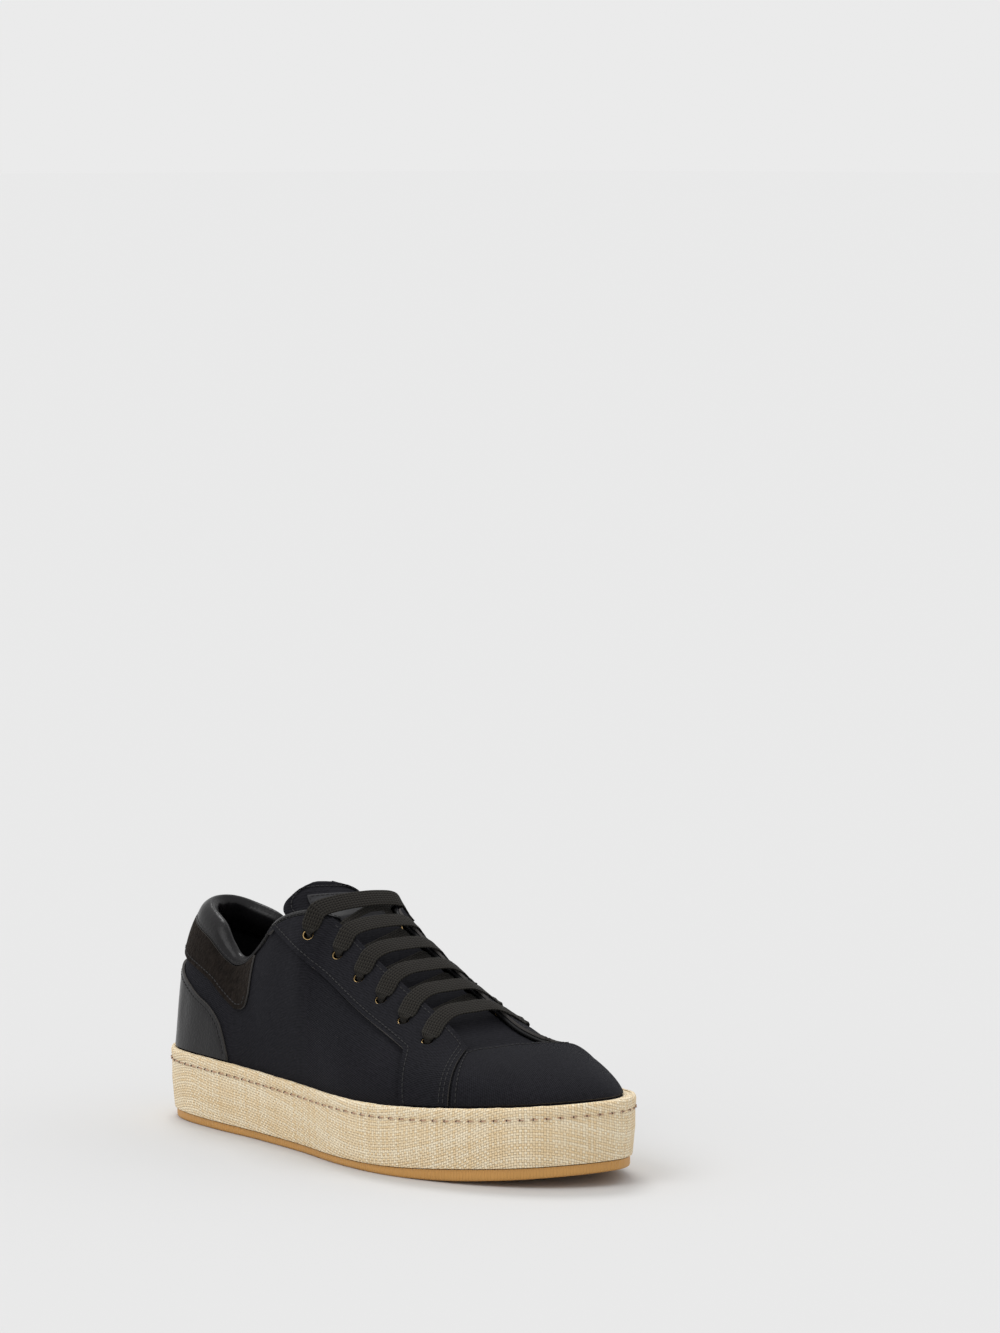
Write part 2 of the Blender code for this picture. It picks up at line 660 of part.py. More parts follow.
def add_tongue_patch(parts):
    # part of the tongue's own grid, lifted off it
    grid = tongue_grid()
    along = np.gradient(grid, axis=0)
    sideways = np.gradient(grid, axis=1)
    grid = grid + unit(np.cross(sideways, along)) * GAP
    below, above = PATCH_ROWS
    top = len(grid) - len(TONGUE_TIP) - 1
    rows = grid[top - below:top + above + 1, PATCH_MARGIN:-PATCH_MARGIN]
    made = add_object("tongue_patch", grid_mesh("tongue_patch", rows),
                      material("leather_grey", (0.03, 0.03, 0.034), 0.50), parts)
    return smooth(thicken(made, PATCH_THICK, outwards=True))


def eyelet_shares():
    return np.linspace(EYELET_FIRST, EYELET_LAST, EYELET_COUNT)


def eyelet_drop(share):
    # the row of eyelets leaves the throat edge towards the toe
    along = (share - EYELET_FIRST) / (EYELET_LAST - EYELET_FIRST)
    return EYELET_EDGE + (EYELET_EDGE_END - EYELET_EDGE) * along


def eyelet_frame(turn):
    # centre on the skin, and the outward direction
    drop = eyelet_drop(share_of(turn))
    centre = skin(turn, drop)
    return centre, unit(skin(turn, drop, 0.001) - centre)


def turned(name, profile, steps, look, home):
    # a closed profile of (radius, height) turned about Z
    work = bmesh.new()
    points = [work.verts.new((radius, 0, height)) for radius, height in profile]
    for a, b in zip(points, points[1:] + points[:1]):
        work.edges.new((a, b))
    mesh = bpy.data.meshes.new(name)
    work.to_mesh(mesh)
    work.free()
    made = add_object(name, mesh, look, home)
    screw = made.modifiers.new("turn", "SCREW")
    screw.steps = steps
    screw.render_steps = steps
    screw.use_merge_vertices = True
    screw.merge_threshold = 0.00001
    return made


def turn_to(made, centre, direction):
    made.location = centre
    made.rotation_mode = "QUATERNION"
    made.rotation_quaternion = mathutils.Vector(direction).to_track_quat("Z", "Y")


def add_eyelets(parts):
    bore, barrel = EYELET_BORE, EYELET_BORE + EYELET_WALL
    top, back = GAP + OVERLAY, -(WALL + 4 * GAP)
    profile = [
        (bore, top), (barrel, top), (barrel, back), (EYELET_FLANGE, back),
        (EYELET_FLANGE, back - EYELET_WALL), (bore, back - EYELET_WALL),
    ]
    look = material("brass", (0.62, 0.45, 0.22), 0.30, 1.0)
    shared = None
    for side, word in ((-1, "lateral"), (1, "medial")):
        for number, share in enumerate(eyelet_shares(), 1):
            name = f"eyelet_{word}_{number}"
            made = turned(name, profile, EYELET_SIDES, look, parts)
            if shared:
                made.data = shared
            shared = made.data
            turn_to(made, *eyelet_frame(both_sides(share, side)))


def cut_eyelet_holes(pieces, cutters):
    # one cutter of six pins a side, through the upper and that side's eyestay
    for side, word in ((-1, "lateral"), (1, "medial")):
        work = bmesh.new()
        for share in eyelet_shares():
            centre, out = eyelet_frame(both_sides(share, side))
            place = mathutils.Matrix.Translation(centre) @ (
                mathutils.Vector(out).to_track_quat("Z", "Y").to_matrix().to_4x4())
            radius = EYELET_BORE + EYELET_WALL + GAP
            bmesh.ops.create_cone(work, cap_ends=True, segments=EYELET_SIDES, radius1=radius, radius2=radius,
                                  depth=PIN_DEPTH, matrix=place)
        mesh = bpy.data.meshes.new(f"pins_{word}")
        work.to_mesh(mesh)
        work.free()
        pins = bpy.data.objects.new(f"pins_{word}", mesh)
        pins.hide_render = True
        pins.display_type = "WIRE"
        cutters.objects.link(pins)
        for made in (pieces["upper"], pieces[f"eyestay_{word}"]):
            cut = made.modifiers.new(f"eyelets_{word}", "BOOLEAN")
            cut.operation = "DIFFERENCE"
            cut.object = pins


def lace_path():
    # bars over the eyestays and crossings below them, as one zigzag: point, up, width direction
    low = PANEL_LIFT + OVERLAY + 4 * GAP + 0.5 * LACE_THICK
    high = low + LACE_THICK + GAP
    shares = eyelet_shares()
    lines = {}

    def section(share):
        # the line from one end to the other, its upward directions and where the throat edge lies
        key = round(float(share), 5)
        if key not in lines:
            ends = eyelet_drop(key) + 0.5 * LACE_WIDTH
            base = across(key, ends, 0.0, 41)
            run = np.linalg.norm(np.diff(base, axis=0), axis=1).sum()
            lines[key] = base, unit(across(key, ends, 0.001, 41) - base), 1 - 2 * ends / run
        return lines[key]

    def place(share, w, lift, run):
        # w goes from -1 at the outer end of the section to 1 at the inner end
        base, ups, _ = section(share)
        at = (w + 1) * 0.5 * (len(base) - 1)
        spread = np.arange(len(base))
        point = np.array([np.interp(at, spread, base[:, i]) for i in range(3)])
        up = unit(np.array([np.interp(at, spread, ups[:, i]) for i in range(3)]))
        wide = unit(np.cross(up, run))
        return point + up * lift, up, wide if wide[0] > 0 else -wide

    def stops(edge):
        # the ends, the middles of the eyestays, their edges and the throat
        half = [LACE_END, 0.5 * (LACE_END + edge), edge + 0.03, edge - 0.06, 0.5 * edge]
        return [*(-w for w in half), 0.0, *half[::-1]]

    points = []
    for i, share in enumerate(shares):
        base, _, edge = section(share)
        bar = unit(base[-4] - base[3])
        for w in stops(edge):
            points.append(place(share, w, high + LACE_ARCH * (1 - (w / LACE_END)**2), bar))
        if i + 1 == len(shares):
            break
        pitch = shares[i + 1] - share
        following = section(shares[i + 1])
        crossing = unit(following[0][3] - base[-4])
        points.append(place(share, LACE_END + LACE_FOLD, 0.5 * (low + high), bar))
        for w in stops(0.5 * (edge + following[2]))[::-1]:
            dip = LACE_DIP * max(0.0, 1 - (w / (edge - 0.06))**2)
            points.append(place(share + 0.5 * (1 - w / LACE_END) * pitch, w, low - dip, crossing))
        points.append(place(share + pitch, -LACE_END - LACE_FOLD, 0.5 * (low + high), bar))
    return points


def add_lace(parts):
    path = lace_path()
    centres = [point for point, _, _ in path]
    half, deep = 0.5 * LACE_WIDTH, 0.5 * LACE_THICK
    section = [(-1, -1), (1, -1), (1, 1), (-1, 1)]
    rings = []
    for i, (centre, up, wide) in enumerate(path):
        flow = unit(centres[min(i + 1, len(path) - 1)] - centres[max(i - 1, 0)])
        thick = unit(np.cross(wide, flow))
        rings.append([centre + wide * half * a + thick * deep * b for a, b in section])
    made = add_object("lace", ring_tube("lace", rings),
                      material("lace_black", (0.020, 0.019, 0.018), 0.90), parts)
    return smooth(made)


def clear_scene():
    for made in list(bpy.data.objects):
        bpy.data.objects.remove(made, do_unlink=True)


def centre_all(parts, cutters):
    # the origin comes under the middle of the sole
    points = np.array([outline(t) for t in np.linspace(0, 2, 200)])
    middle = 0.5 * (points.min(axis=0) + points.max(axis=0))
    for made in [*parts.objects, *cutters.objects]:
        made.location = np.array(made.location) - (*middle, 0.0)


def main():
    clear_scene()
    parts = bpy.data.collections.new("low_top_sneaker")
    cutters = bpy.data.collections.new("cutters")
    bpy.context.scene.collection.children.link(parts)
    bpy.context.scene.collection.children.link(cutters)
    add_outsole(parts)
    add_midsole(parts)
    add_insole(parts)
    pieces = {"upper": add_upper(parts)}
    pieces["eyestay_lateral"] = add_eyestay("eyestay_lateral", -1, parts)
    pieces["eyestay_medial"] = add_eyestay("eyestay_medial", 1, parts)
    add_toe_cap(parts)
    add_heel_counter(parts)
    add_heel_patch(parts)
    add_collar_binding(parts)
    add_tongue(parts)
    add_tongue_patch(parts)
    add_eyelets(parts)
    cut_eyelet_holes(pieces, cutters)
    add_lace(parts)
    centre_all(parts, cutters)


main()
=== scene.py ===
# Low-top sneaker, right shoe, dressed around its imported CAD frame.
# The upper's skin is the same function as in the part's source, on a fine grid,
# and every panel, seam and stitch is placed on it by turn (round the sole) and drop (below the top line).

import json
import math

import bmesh
import bpy
import numpy as np
from mathutils import Matrix, Vector

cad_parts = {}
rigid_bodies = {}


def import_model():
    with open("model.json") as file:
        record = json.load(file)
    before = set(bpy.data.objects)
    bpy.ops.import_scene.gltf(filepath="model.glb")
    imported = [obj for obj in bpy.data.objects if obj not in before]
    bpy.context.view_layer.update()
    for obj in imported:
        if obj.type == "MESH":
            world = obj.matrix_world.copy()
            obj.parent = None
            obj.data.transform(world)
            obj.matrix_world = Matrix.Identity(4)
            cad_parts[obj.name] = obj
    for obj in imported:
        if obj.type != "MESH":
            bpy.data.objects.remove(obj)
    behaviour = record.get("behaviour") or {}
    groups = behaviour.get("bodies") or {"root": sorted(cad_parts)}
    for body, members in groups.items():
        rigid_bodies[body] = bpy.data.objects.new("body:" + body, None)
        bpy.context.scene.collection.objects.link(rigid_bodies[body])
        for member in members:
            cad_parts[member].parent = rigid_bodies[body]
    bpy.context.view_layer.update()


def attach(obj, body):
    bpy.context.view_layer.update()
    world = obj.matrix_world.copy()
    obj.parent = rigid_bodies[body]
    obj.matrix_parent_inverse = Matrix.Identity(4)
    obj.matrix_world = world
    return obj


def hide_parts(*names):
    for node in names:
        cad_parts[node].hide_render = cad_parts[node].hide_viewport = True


for leftover in list(bpy.data.objects):       # the default cube, lamp and camera
    bpy.data.objects.remove(leftover, do_unlink=True)
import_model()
print("frame ready")

last = {
    "length": 0.300,            # along the wrapped wall; lengths below are metres
    "ballWidth": 0.110,
    "soleHeight": 0.035,
    "topHeight": 0.110,
    "wall": 0.0018,             # the twill shell
    "overlay": 0.0012,          # panels sewn on it
    "capThick": 0.0008,
    "panelLift": 0.0004,        # panels stand off the shell
    "gap": 0.00035,             # between pieces that lie on each other
    "dig": 0.002,               # the shell's foot under the rim
    "insoleThick": 0.0035,
    "aim": 0.012,               # how far ribs lean along the outline's own normal
}

# sole outline from the heel centre round the outer side: along / length, across / ball width
outlineRows = [
    (0.005, 0.000), (0.021, -0.156), (0.070, -0.269), (0.168, -0.331), (0.300, -0.370),
    (0.433, -0.430), (0.548, -0.504), (0.650, -0.527), (0.750, -0.487), (0.833, -0.412),
    (0.912, -0.287), (0.967, -0.121), (0.990, 0.042), (0.972, 0.178), (0.912, 0.322),
    (0.830, 0.410), (0.750, 0.460), (0.667, 0.472), (0.583, 0.429), (0.500, 0.364),
    (0.400, 0.310), (0.300, 0.310), (0.167, 0.339), (0.066, 0.285), (0.015, 0.166),
]
toeRow = 12

# along / length, then tread, gum line, rim and bed heights / sole height
sideRows = [
    (0.00, 0.030, 0.150, 1.003, 0.50),
    (0.05, 0.000, 0.138, 1.003, 0.50),
    (0.20, 0.000, 0.124, 1.000, 0.49),
    (0.40, 0.000, 0.118, 0.958, 0.45),
    (0.60, 0.000, 0.118, 0.945, 0.41),
    (0.70, 0.000, 0.142, 0.966, 0.43),
    (0.80, 0.036, 0.205, 1.020, 0.49),
    (0.90, 0.112, 0.276, 1.090, 0.58),
    (1.00, 0.215, 0.363, 1.170, 0.68),
]
ledgeRows = [(0.0, 0.0030), (0.2, 0.0036), (0.6, 0.0043), (0.85, 0.0054), (1.0, 0.0068)]

# top line: share, outer along and across, inner along and across, height, tilt, swell, low and high handles
topRows = [
    (0.000, 0.073, 0.000, 0.073, 0.000, 0.983, 50, -0.036, 0.40, 0.28),
    (0.050, 0.081, 0.070, 0.081, 0.070, 0.977, 48, -0.032, 0.40, 0.27),
    (0.100, 0.105, 0.128, 0.105, 0.128, 0.951, 43, -0.023, 0.40, 0.26),
    (0.150, 0.153, 0.172, 0.153, 0.172, 0.901, 44, -0.014, 0.40, 0.22),
    (0.200, 0.188, 0.195, 0.188, 0.195, 0.815, 42, -0.005, 0.40, 0.20),
    (0.240, 0.215, 0.209, 0.215, 0.209, 0.769, 36, 0.000, 0.40, 0.20),
    (0.270, 0.243, 0.223, 0.243, 0.223, 0.783, 28, 0.005, 0.40, 0.22),
    (0.310, 0.289, 0.255, 0.289, 0.255, 0.872, 22, 0.005, 0.40, 0.26),
    (0.350, 0.322, 0.268, 0.322, 0.268, 0.960, 24, 0.005, 0.40, 0.28),
    (0.390, 0.359, 0.262, 0.359, 0.262, 1.008, 30, 0.005, 0.40, 0.30),
    (0.420, 0.397, 0.250, 0.397, 0.250, 1.030, 38, 0.005, 0.42, 0.32),
    (0.443, 0.417, 0.212, 0.417, 0.212, 1.018, 45, 0.005, 0.43, 0.34),
    (0.460, 0.435, 0.186, 0.435, 0.186, 0.987, 47, 0.005, 0.44, 0.36),
    (0.480, 0.459, 0.176, 0.459, 0.176, 0.951, 47, 0.005, 0.45, 0.38),
    (0.550, 0.528, 0.173, 0.528, 0.173, 0.838, 49, 0.005, 0.48, 0.41),
    (0.620, 0.598, 0.171, 0.598, 0.171, 0.733, 53, 0.005, 0.52, 0.43),
    (0.690, 0.671, 0.170, 0.671, 0.170, 0.632, 58, 0.004, 0.56, 0.45),
    (0.725, 0.713, 0.178, 0.713, 0.184, 0.568, 63, 0.003, 0.60, 0.45),
    (0.745, 0.735, 0.196, 0.750, 0.214, 0.530, 72, 0.002, 0.63, 0.45),
    (0.765, 0.740, 0.186, 0.792, 0.236, 0.518, 76, 0.002, 0.60, 0.43),
    (0.800, 0.745, 0.141, 0.796, 0.223, 0.523, 80, 0.000, 0.58, 0.42),
    (0.870, 0.757, 0.068, 0.793, 0.168, 0.527, 84, 0.000, 0.47, 0.37),
    (0.930, 0.768, 0.000, 0.787, 0.114, 0.532, 86, 0.000, 0.43, 0.35),
    (1.000, 0.778, -0.055, 0.778, 0.055, 0.532, 86, 0.000, 0.43, 0.35),
]

# share, height of the panel's edge / top height
eyestayRows = [
    (0.340, 0.945), (0.359, 0.930), (0.410, 0.869), (0.471, 0.772), (0.552, 0.656),
    (0.630, 0.560), (0.650, 0.534), (0.658, 0.522), (0.664, 0.500),
]
counterRows = [
    (0.00, 0.705), (0.05, 0.695), (0.10, 0.650), (0.15, 0.585), (0.19, 0.540),
    (0.220, 0.478), (0.235, 0.410), (0.246, 0.335),
]
heelPatchRows = [
    (0.00, 0.770), (0.06, 0.750), (0.12, 0.710), (0.176, 0.660), (0.218, 0.600),
    (0.250, 0.562), (0.264, 0.555), (0.280, 0.575), (0.289, 0.640),
]
# share, drop of the band's outer and inner legs, padding behind the inner leg
bandRows = [
    (0.00, 0.0100, 0.0190, 0.0032), (0.15, 0.0096, 0.0180, 0.0030),
    (0.22, 0.0060, 0.0140, 0.0020), (0.27, 0.0026, 0.0080, 0.0010),
    (0.35, 0.0022, 0.0050, 0.0004), (0.44, 0.0022, 0.0040, 0.0002),
]

# soft troughs (depth > 0) and ridges in the upper: turn, drop, half length, half width, depth, slant in degrees
rumpleRows = [
    (0.300, 0.034, 0.014, 0.0035, 0.0007, 55), (0.335, 0.046, 0.017, 0.0040, -0.0005, 60),
    (0.430, 0.058, 0.018, 0.0045, 0.0006, 25), (0.520, 0.046, 0.016, 0.0040, -0.0004, 15),
    (0.585, 0.040, 0.013, 0.0035, 0.0006, 20), (0.630, 0.034, 0.010, 0.0030, -0.0004, 30),
    (0.800, 0.022, 0.010, 0.0045, 0.0004, 80), (0.860, 0.030, 0.012, 0.0050, -0.0004, 70),
    (1.160, 0.024, 0.010, 0.0045, 0.0004, 100), (1.390, 0.040, 0.014, 0.0040, 0.0006, 160),
    (1.480, 0.048, 0.016, 0.0040, -0.0004, 165), (1.600, 0.052, 0.018, 0.0045, 0.0006, 150),
    (1.700, 0.036, 0.015, 0.0035, 0.0006, 120), (0.120, 0.050, 0.012, 0.0050, 0.0003, 90),
]
halfGirth = 0.33          # metres of skin per unit of turn, near enough for cloth patterns


def hermite(table, at, period=None):
    # smooth curve through the rows of a table: first column the place, the rest values
    rows = np.asarray(table, dtype=float)
    at = np.asarray(at, dtype=float)
    if period:
        before, after = rows[-2:].copy(), rows[:2].copy()
        before[:, 0] -= period
        after[:, 0] += period
        rows = np.vstack([before, rows, after])
        at = np.mod(at, period)
    knots, values = rows[:, 0], rows[:, 1:]
    slopes = np.empty_like(values)
    slopes[1:-1] = (values[2:] - values[:-2]) / (knots[2:] - knots[:-2])[:, None]
    slopes[0] = (values[1] - values[0]) / (knots[1] - knots[0])
    slopes[-1] = (values[-1] - values[-2]) / (knots[-1] - knots[-2])
    index = np.clip(np.searchsorted(knots, at, side="right") - 1, 0, len(knots) - 2)
    width = knots[index + 1] - knots[index]
    t = np.clip((at - knots[index]) / width, 0.0, 1.0)[..., None]
    width = width[..., None]
    return (
        (2 * t**3 - 3 * t**2 + 1) * values[index] + (t**3 - 2 * t**2 + t) * width * slopes[index]
        + (3 * t**2 - 2 * t**3) * values[index + 1] + (t**3 - t**2) * width * slopes[index + 1]
    )


def unit(v):
    return v / np.maximum(np.linalg.norm(v, axis=-1, keepdims=True), 1e-9)


def runAlong(points, axis=0):
    # distance of each point from the first, along the line
    steps = np.linalg.norm(np.diff(points, axis=axis), axis=-1)
    start = np.zeros_like(np.take(steps, [0], axis=axis))
    return np.concatenate([start, np.cumsum(steps, axis=axis)], axis=axis)


def pick(places, run, points):
    # points at places along a run
    return np.stack([np.interp(places, run, column) for column in points.T], axis=-1)


def makeOutlineTable():
    points = np.array(outlineRows) * (last["length"], last["ballWidth"])
    run = runAlong(np.vstack([points, points[:1]]))
    toe = run[toeRow]
    turn = np.where(run <= toe, run / toe, 1 + (run - toe) / (run[-1] - toe))[:-1]
    return np.column_stack([turn, points])


def makeTopTable():
    outer = [(row[0], row[1], -row[2], *row[5:]) for row in topRows]
    inner = [(2 - row[0], row[3], row[4], *row[5:]) for row in topRows[1:-1]]
    table = np.array(outer + inner[::-1], dtype=float)
    table[:, 1:4] *= (last["length"], last["ballWidth"], last["topHeight"])
    table[:, 5] *= last["ballWidth"]
    return table


outlineTable = makeOutlineTable()
topTable = makeTopTable()


def outline(turn, inset=0.0):
    # a point of the sole's outline, moved inwards by inset; turn 0 is the heel, 1 the toe
    step = 0.002
    turn = np.asarray(turn, dtype=float)
    along = unit(hermite(outlineTable, turn + step, 2.0) - hermite(outlineTable, turn - step, 2.0))
    inward = np.stack([-along[..., 1], along[..., 0]], axis=-1)
    return hermite(outlineTable, turn, 2.0) + inward * np.asarray(inset)[..., None]


def soleLevel(x, column):
    # column 0 tread, 1 gum line, 2 rim, 3 bed
    level = hermite(sideRows, np.clip(x / last["length"], 0, 1))[..., column] * last["soleHeight"]
    return np.maximum(level, 0.0)


def ledge(turn):
    x = hermite(outlineTable, turn, 2.0)[..., 0]
    return hermite(ledgeRows, np.clip(x / last["length"], 0, 1))[..., 0]


def ribControls(turn):
    # four handles of the rib at a turn, from below the rim to the top line
    turn = np.asarray(turn, dtype=float)
    foot = outline(turn, ledge(turn))
    base = np.concatenate([foot, (soleLevel(foot[..., 0], 2) - last["dig"])[..., None]], axis=-1)
    values = hermite(topTable, turn, 2.0)
    top = values[..., :3]
    tilt, swell, low, high = np.moveaxis(values[..., 3:], -1, 0)
    normal = unit(outline(turn) - outline(turn, 0.001))
    out = unit((base - top)[..., :2] + normal * last["aim"])
    tilt = np.radians(tilt)
    chord = np.linalg.norm(base - top, axis=-1)
    rise = top[..., 2] - base[..., 2]
    lower = base + np.concatenate([normal * swell[..., None], (low * rise)[..., None]], axis=-1)
    lean = np.concatenate([out * np.sin(tilt)[..., None], -np.cos(tilt)[..., None]], axis=-1)
    return base, lower, top + lean * (high * chord)[..., None], top


def bezier(handles, t):
    a, b, c, d = handles
    t = np.asarray(t)[..., None]
    return (1 - t)**3 * a + 3 * t * (1 - t)**2 * b + 3 * t**2 * (1 - t) * c + t**3 * d


def makeRibTable(turnCount=480, shareCount=64):
    # per turn the rib's length, and the place on the curve of even shares of it from the top
    handles = [h[:, None] for h in ribControls(np.linspace(0, 2, turnCount + 1))]
    t = np.linspace(1, 0, shareCount + 1)
    run = runAlong(bezier(handles, np.broadcast_to(t, (turnCount + 1, shareCount + 1))), axis=1)
    even = np.linspace(0, 1, shareCount + 1)
    places = np.array([np.interp(even * row[-1], row, t) for row in run])
    return run[:, -1], places


ribLengths, ribPlaces = makeRibTable()


def ribLength(turn):
    return np.interp(np.mod(turn, 2.0), np.linspace(0, 2, len(ribLengths)), ribLengths)


def plainSkin(turn, drop):
    length = ribLength(turn)
    a = np.mod(turn, 2.0) * 0.5 * (ribPlaces.shape[0] - 1)
    b = np.clip(drop / length, 0, 1) * (ribPlaces.shape[1] - 1)
    i = np.minimum(a.astype(int), ribPlaces.shape[0] - 2)
    j = np.minimum(b.astype(int), ribPlaces.shape[1] - 2)
    f, g = a - i, b - j
    near = ribPlaces[i, j] * (1 - g) + ribPlaces[i, j + 1] * g
    far = ribPlaces[i + 1, j] * (1 - g) + ribPlaces[i + 1, j + 1] * g
    base, lower, upper, top = ribControls(turn)
    point = bezier((base, lower, upper, top), near * (1 - f) + far * f)
    point = point + unit(top - upper) * np.maximum(-drop, 0)[..., None]
    point[..., 2] -= np.maximum(drop - length, 0)
    return point


def rumple(turn, drop):
    # the listed soft troughs and ridges, as a lift
    total = np.zeros(np.shape(turn))
    for t0, d0, length, width, depth, slant in rumpleRows:
        along = (np.mod(turn, 2.0) - t0) * halfGirth
        down = drop - d0
        c, s = math.cos(math.radians(slant)), math.sin(math.radians(slant))
        a, b = along * c + down * s, down * c - along * s
        total = total - depth * np.exp(-(a / length)**2 - (b / width)**2)
    return total


def skinAndNormal(turn, drop, lift=0.0):
    turn, drop, lift = np.broadcast_arrays(np.asarray(turn, dtype=float), drop, lift)
    step, below = 0.003, 0.0012
    share = drop / ribLength(turn)
    ahead = plainSkin(turn + step, share * ribLength(turn + step))
    behind = plainSkin(turn - step, share * ribLength(turn - step))
    down = plainSkin(turn, drop + below) - plainSkin(turn, drop - below)
    normal = unit(np.cross(down, ahead - behind))
    return plainSkin(turn, drop) + normal * (lift + rumple(turn, drop))[..., None], normal


def skin(turn, drop, lift=0.0):
    return skinAndNormal(turn, drop, lift)[0]


def dropAt(turns, heights):
    # the drop where each rib passes a height
    shares = np.linspace(0, 1, 65)
    found = []
    for turn, height in zip(turns, np.broadcast_to(heights, np.shape(turns))):
        drops = shares * ribLength(turn)
        z = plainSkin(np.full(65, turn), drops)[:, 2]
        order = np.argsort(z)
        found.append(np.interp(height, z[order], drops[order]))
    return np.array(found)


def shareOf(turn):
    turn = np.mod(turn, 2.0)
    return np.where(turn <= 1, turn, 2 - turn)


def edgeDrops(rows, turns):
    # drops of a panel's edge, from a table of its heights
    return dropAt(turns, hermite(rows, shareOf(turns))[..., 0] * last["topHeight"])


def rimDrop(turn):
    return ribLength(turn) - last["dig"] - 2 * last["gap"]


def bandDrop(share):
    return hermite(bandRows, share)[..., 0]


outlinePoints = outline(np.linspace(0, 2, 200))
middle = np.array([*(0.5 * (outlinePoints.min(axis=0) + outlinePoints.max(axis=0))), 0.0])


class Flow:
    # a shader socket that can stand in sums

    def __init__(self, look, socket):
        self.look, self.socket = look, socket

    def math(self, kind, *others):
        return self.look.math(kind, self, *others)

    def output(self, key):
        # another output of the same node
        return Flow(self.look, self.socket.node.outputs[key])

    def __add__(self, other):
        return self.math("ADD", other)

    def __mul__(self, other):
        return self.math("MULTIPLY", other)

    def __sub__(self, other):
        return self.math("SUBTRACT", other)

    def __rsub__(self, other):
        return self.look.math("SUBTRACT", other, self)

    def __truediv__(self, other):
        return self.math("DIVIDE", other)

    __radd__, __rmul__ = __add__, __mul__

    def wave(self, period):
        # 0 to 1, one swing per period
        return (self * (2 * math.pi / period)).math("SINE") * 0.5 + 0.5

    def clamped(self):
        return self.math("MAXIMUM", 0.0).math("MINIMUM", 1.0)


class Look:
    # one material: its even values, then flows for what varies over the surface

    def __init__(self, name, color, rough, fixed=()):
        self.material = bpy.data.materials.new(name)
        self.material.use_nodes = True
        self.material.diffuse_color = (*color, 1.0)
        self.tree = self.material.node_tree
        self.shader = self.tree.nodes["Principled BSDF"]
        for key, value in {"Base Color": (*color, 1.0), "Roughness": rough, **dict(fixed)}.items():
            self.set(key, value)

    def feed(self, socket, value):
        if isinstance(value, Flow):
            self.tree.links.new(value.socket, socket)
        else:
            socket.default_value = value

    def set(self, key, value):
        self.feed(self.shader.inputs[key], value)

    def node(self, kind, settings=(), values=()):
        # any node: its settings, then the values or links of its sockets
        made = self.tree.nodes.new(kind)
        for key, value in dict(settings).items():
            setattr(made, key, value)
        for key, value in dict(values).items():
            self.feed(made.inputs[key], value)
        return Flow(self, made.outputs[0])

    def math(self, kind, *values):
        return self.node("ShaderNodeMath", {"operation": kind}, enumerate(values))

    def metres(self):
        # the piece's own map: along and down, in metres
        place = self.node("ShaderNodeUVMap", {"uv_map": "metres"})
        along = self.node("ShaderNodeSeparateXYZ", (), {0: place})
        return along, along.output(1)

    def spot(self, u, v, w=0.0):
        return self.node("ShaderNodeCombineXYZ", (), {0: u, 1: v, 2: w})

    def noise(self, place, scale, detail=2.0):
        return self.node("ShaderNodeTexNoise", (), {"Vector": place, "Scale": scale, "Detail": detail})

    def objectPlace(self):
        return self.node("ShaderNodeTexCoord").output("Object")

    def mix(self, factor, a, b):
        a, b = (end if isinstance(end, Flow) else (*end, 1.0) for end in (a, b))
        return self.node("ShaderNodeMix", {"data_type": "RGBA"}, {0: factor, 6: a, 7: b}).output(2)

    def mottle(self, factor, color, low, high):
        # the base colour, from a darker to a lighter shade of itself
        self.set("Base Color", self.mix(factor, [c * low for c in color], [c * high for c in color]))

    def bump(self, height, depth):
        self.set("Normal", self.node("ShaderNodeBump", (), {"Distance": depth, "Height": height}))


def twillLook(name, upright=False):
    settings = {
        "pitch": 0.0011, "depth": 0.00022, "dark": (0.0044, 0.0044, 0.0056), "light": (0.024, 0.0235, 0.0285),
        "sheen": {"Specular IOR Level": 0.08, "Sheen Weight": 0.03, "Sheen Roughness": 0.5,
                  "Sheen Tint": (0.55, 0.58, 0.70, 1)},
    }
    look = Look(name, settings["dark"], 0.88, settings["sheen"])
    u, v = look.metres()
    lines = (u if upright else u + v).wave(settings["pitch"])
    steps = (u - v if upright else v).wave(settings["pitch"] * 1.3)
    slub = look.noise(look.spot(u * 420, v * 900), 1.0, 3.0)
    cloud = look.noise(look.objectPlace(), 38.0)
    weave = lines * 0.62 + steps * 0.38
    tone = weave * 0.45 + slub * 0.80 + cloud * 0.20 - 0.38
    look.set("Base Color", look.mix(tone.clamped(), settings["dark"], settings["light"]))
    look.bump(weave + slub * 0.5, settings["depth"])
    return look.material


def leatherLook(name, color, rough, grain=420.0):
    look = Look(name, color, rough, {"Specular IOR Level": 0.20})
    place = look.objectPlace()
    cells = look.node("ShaderNodeTexVoronoi", (), {"Vector": place, "Scale": grain * 2.2})
    fine = look.noise(place, grain, 4.0)
    broad = look.noise(place, 60.0)
    look.mottle(broad, color, 0.75, 1.5)
    look.set("Roughness", broad * 0.16 + (rough - 0.08))
    look.bump(cells * 0.5 + fine, 0.00012)
    return look.material


def suedeLook():
    color = (0.0060, 0.0045, 0.0036)
    look = Look("suedeNap", color, 0.95, {"Specular IOR Level": 0.08, "Sheen Weight": 0.05,
                                          "Sheen Roughness": 0.45, "Sheen Tint": (0.62, 0.52, 0.44, 1)})
    place = look.objectPlace()
    nap = look.noise(place, 620.0, 5.0)
    brushed = look.noise(place, 330.0, 5.0)
    look.mottle(brushed, color, 0.1, 3.2)
    look.bump(nap + brushed, 0.0008)
    return look.material


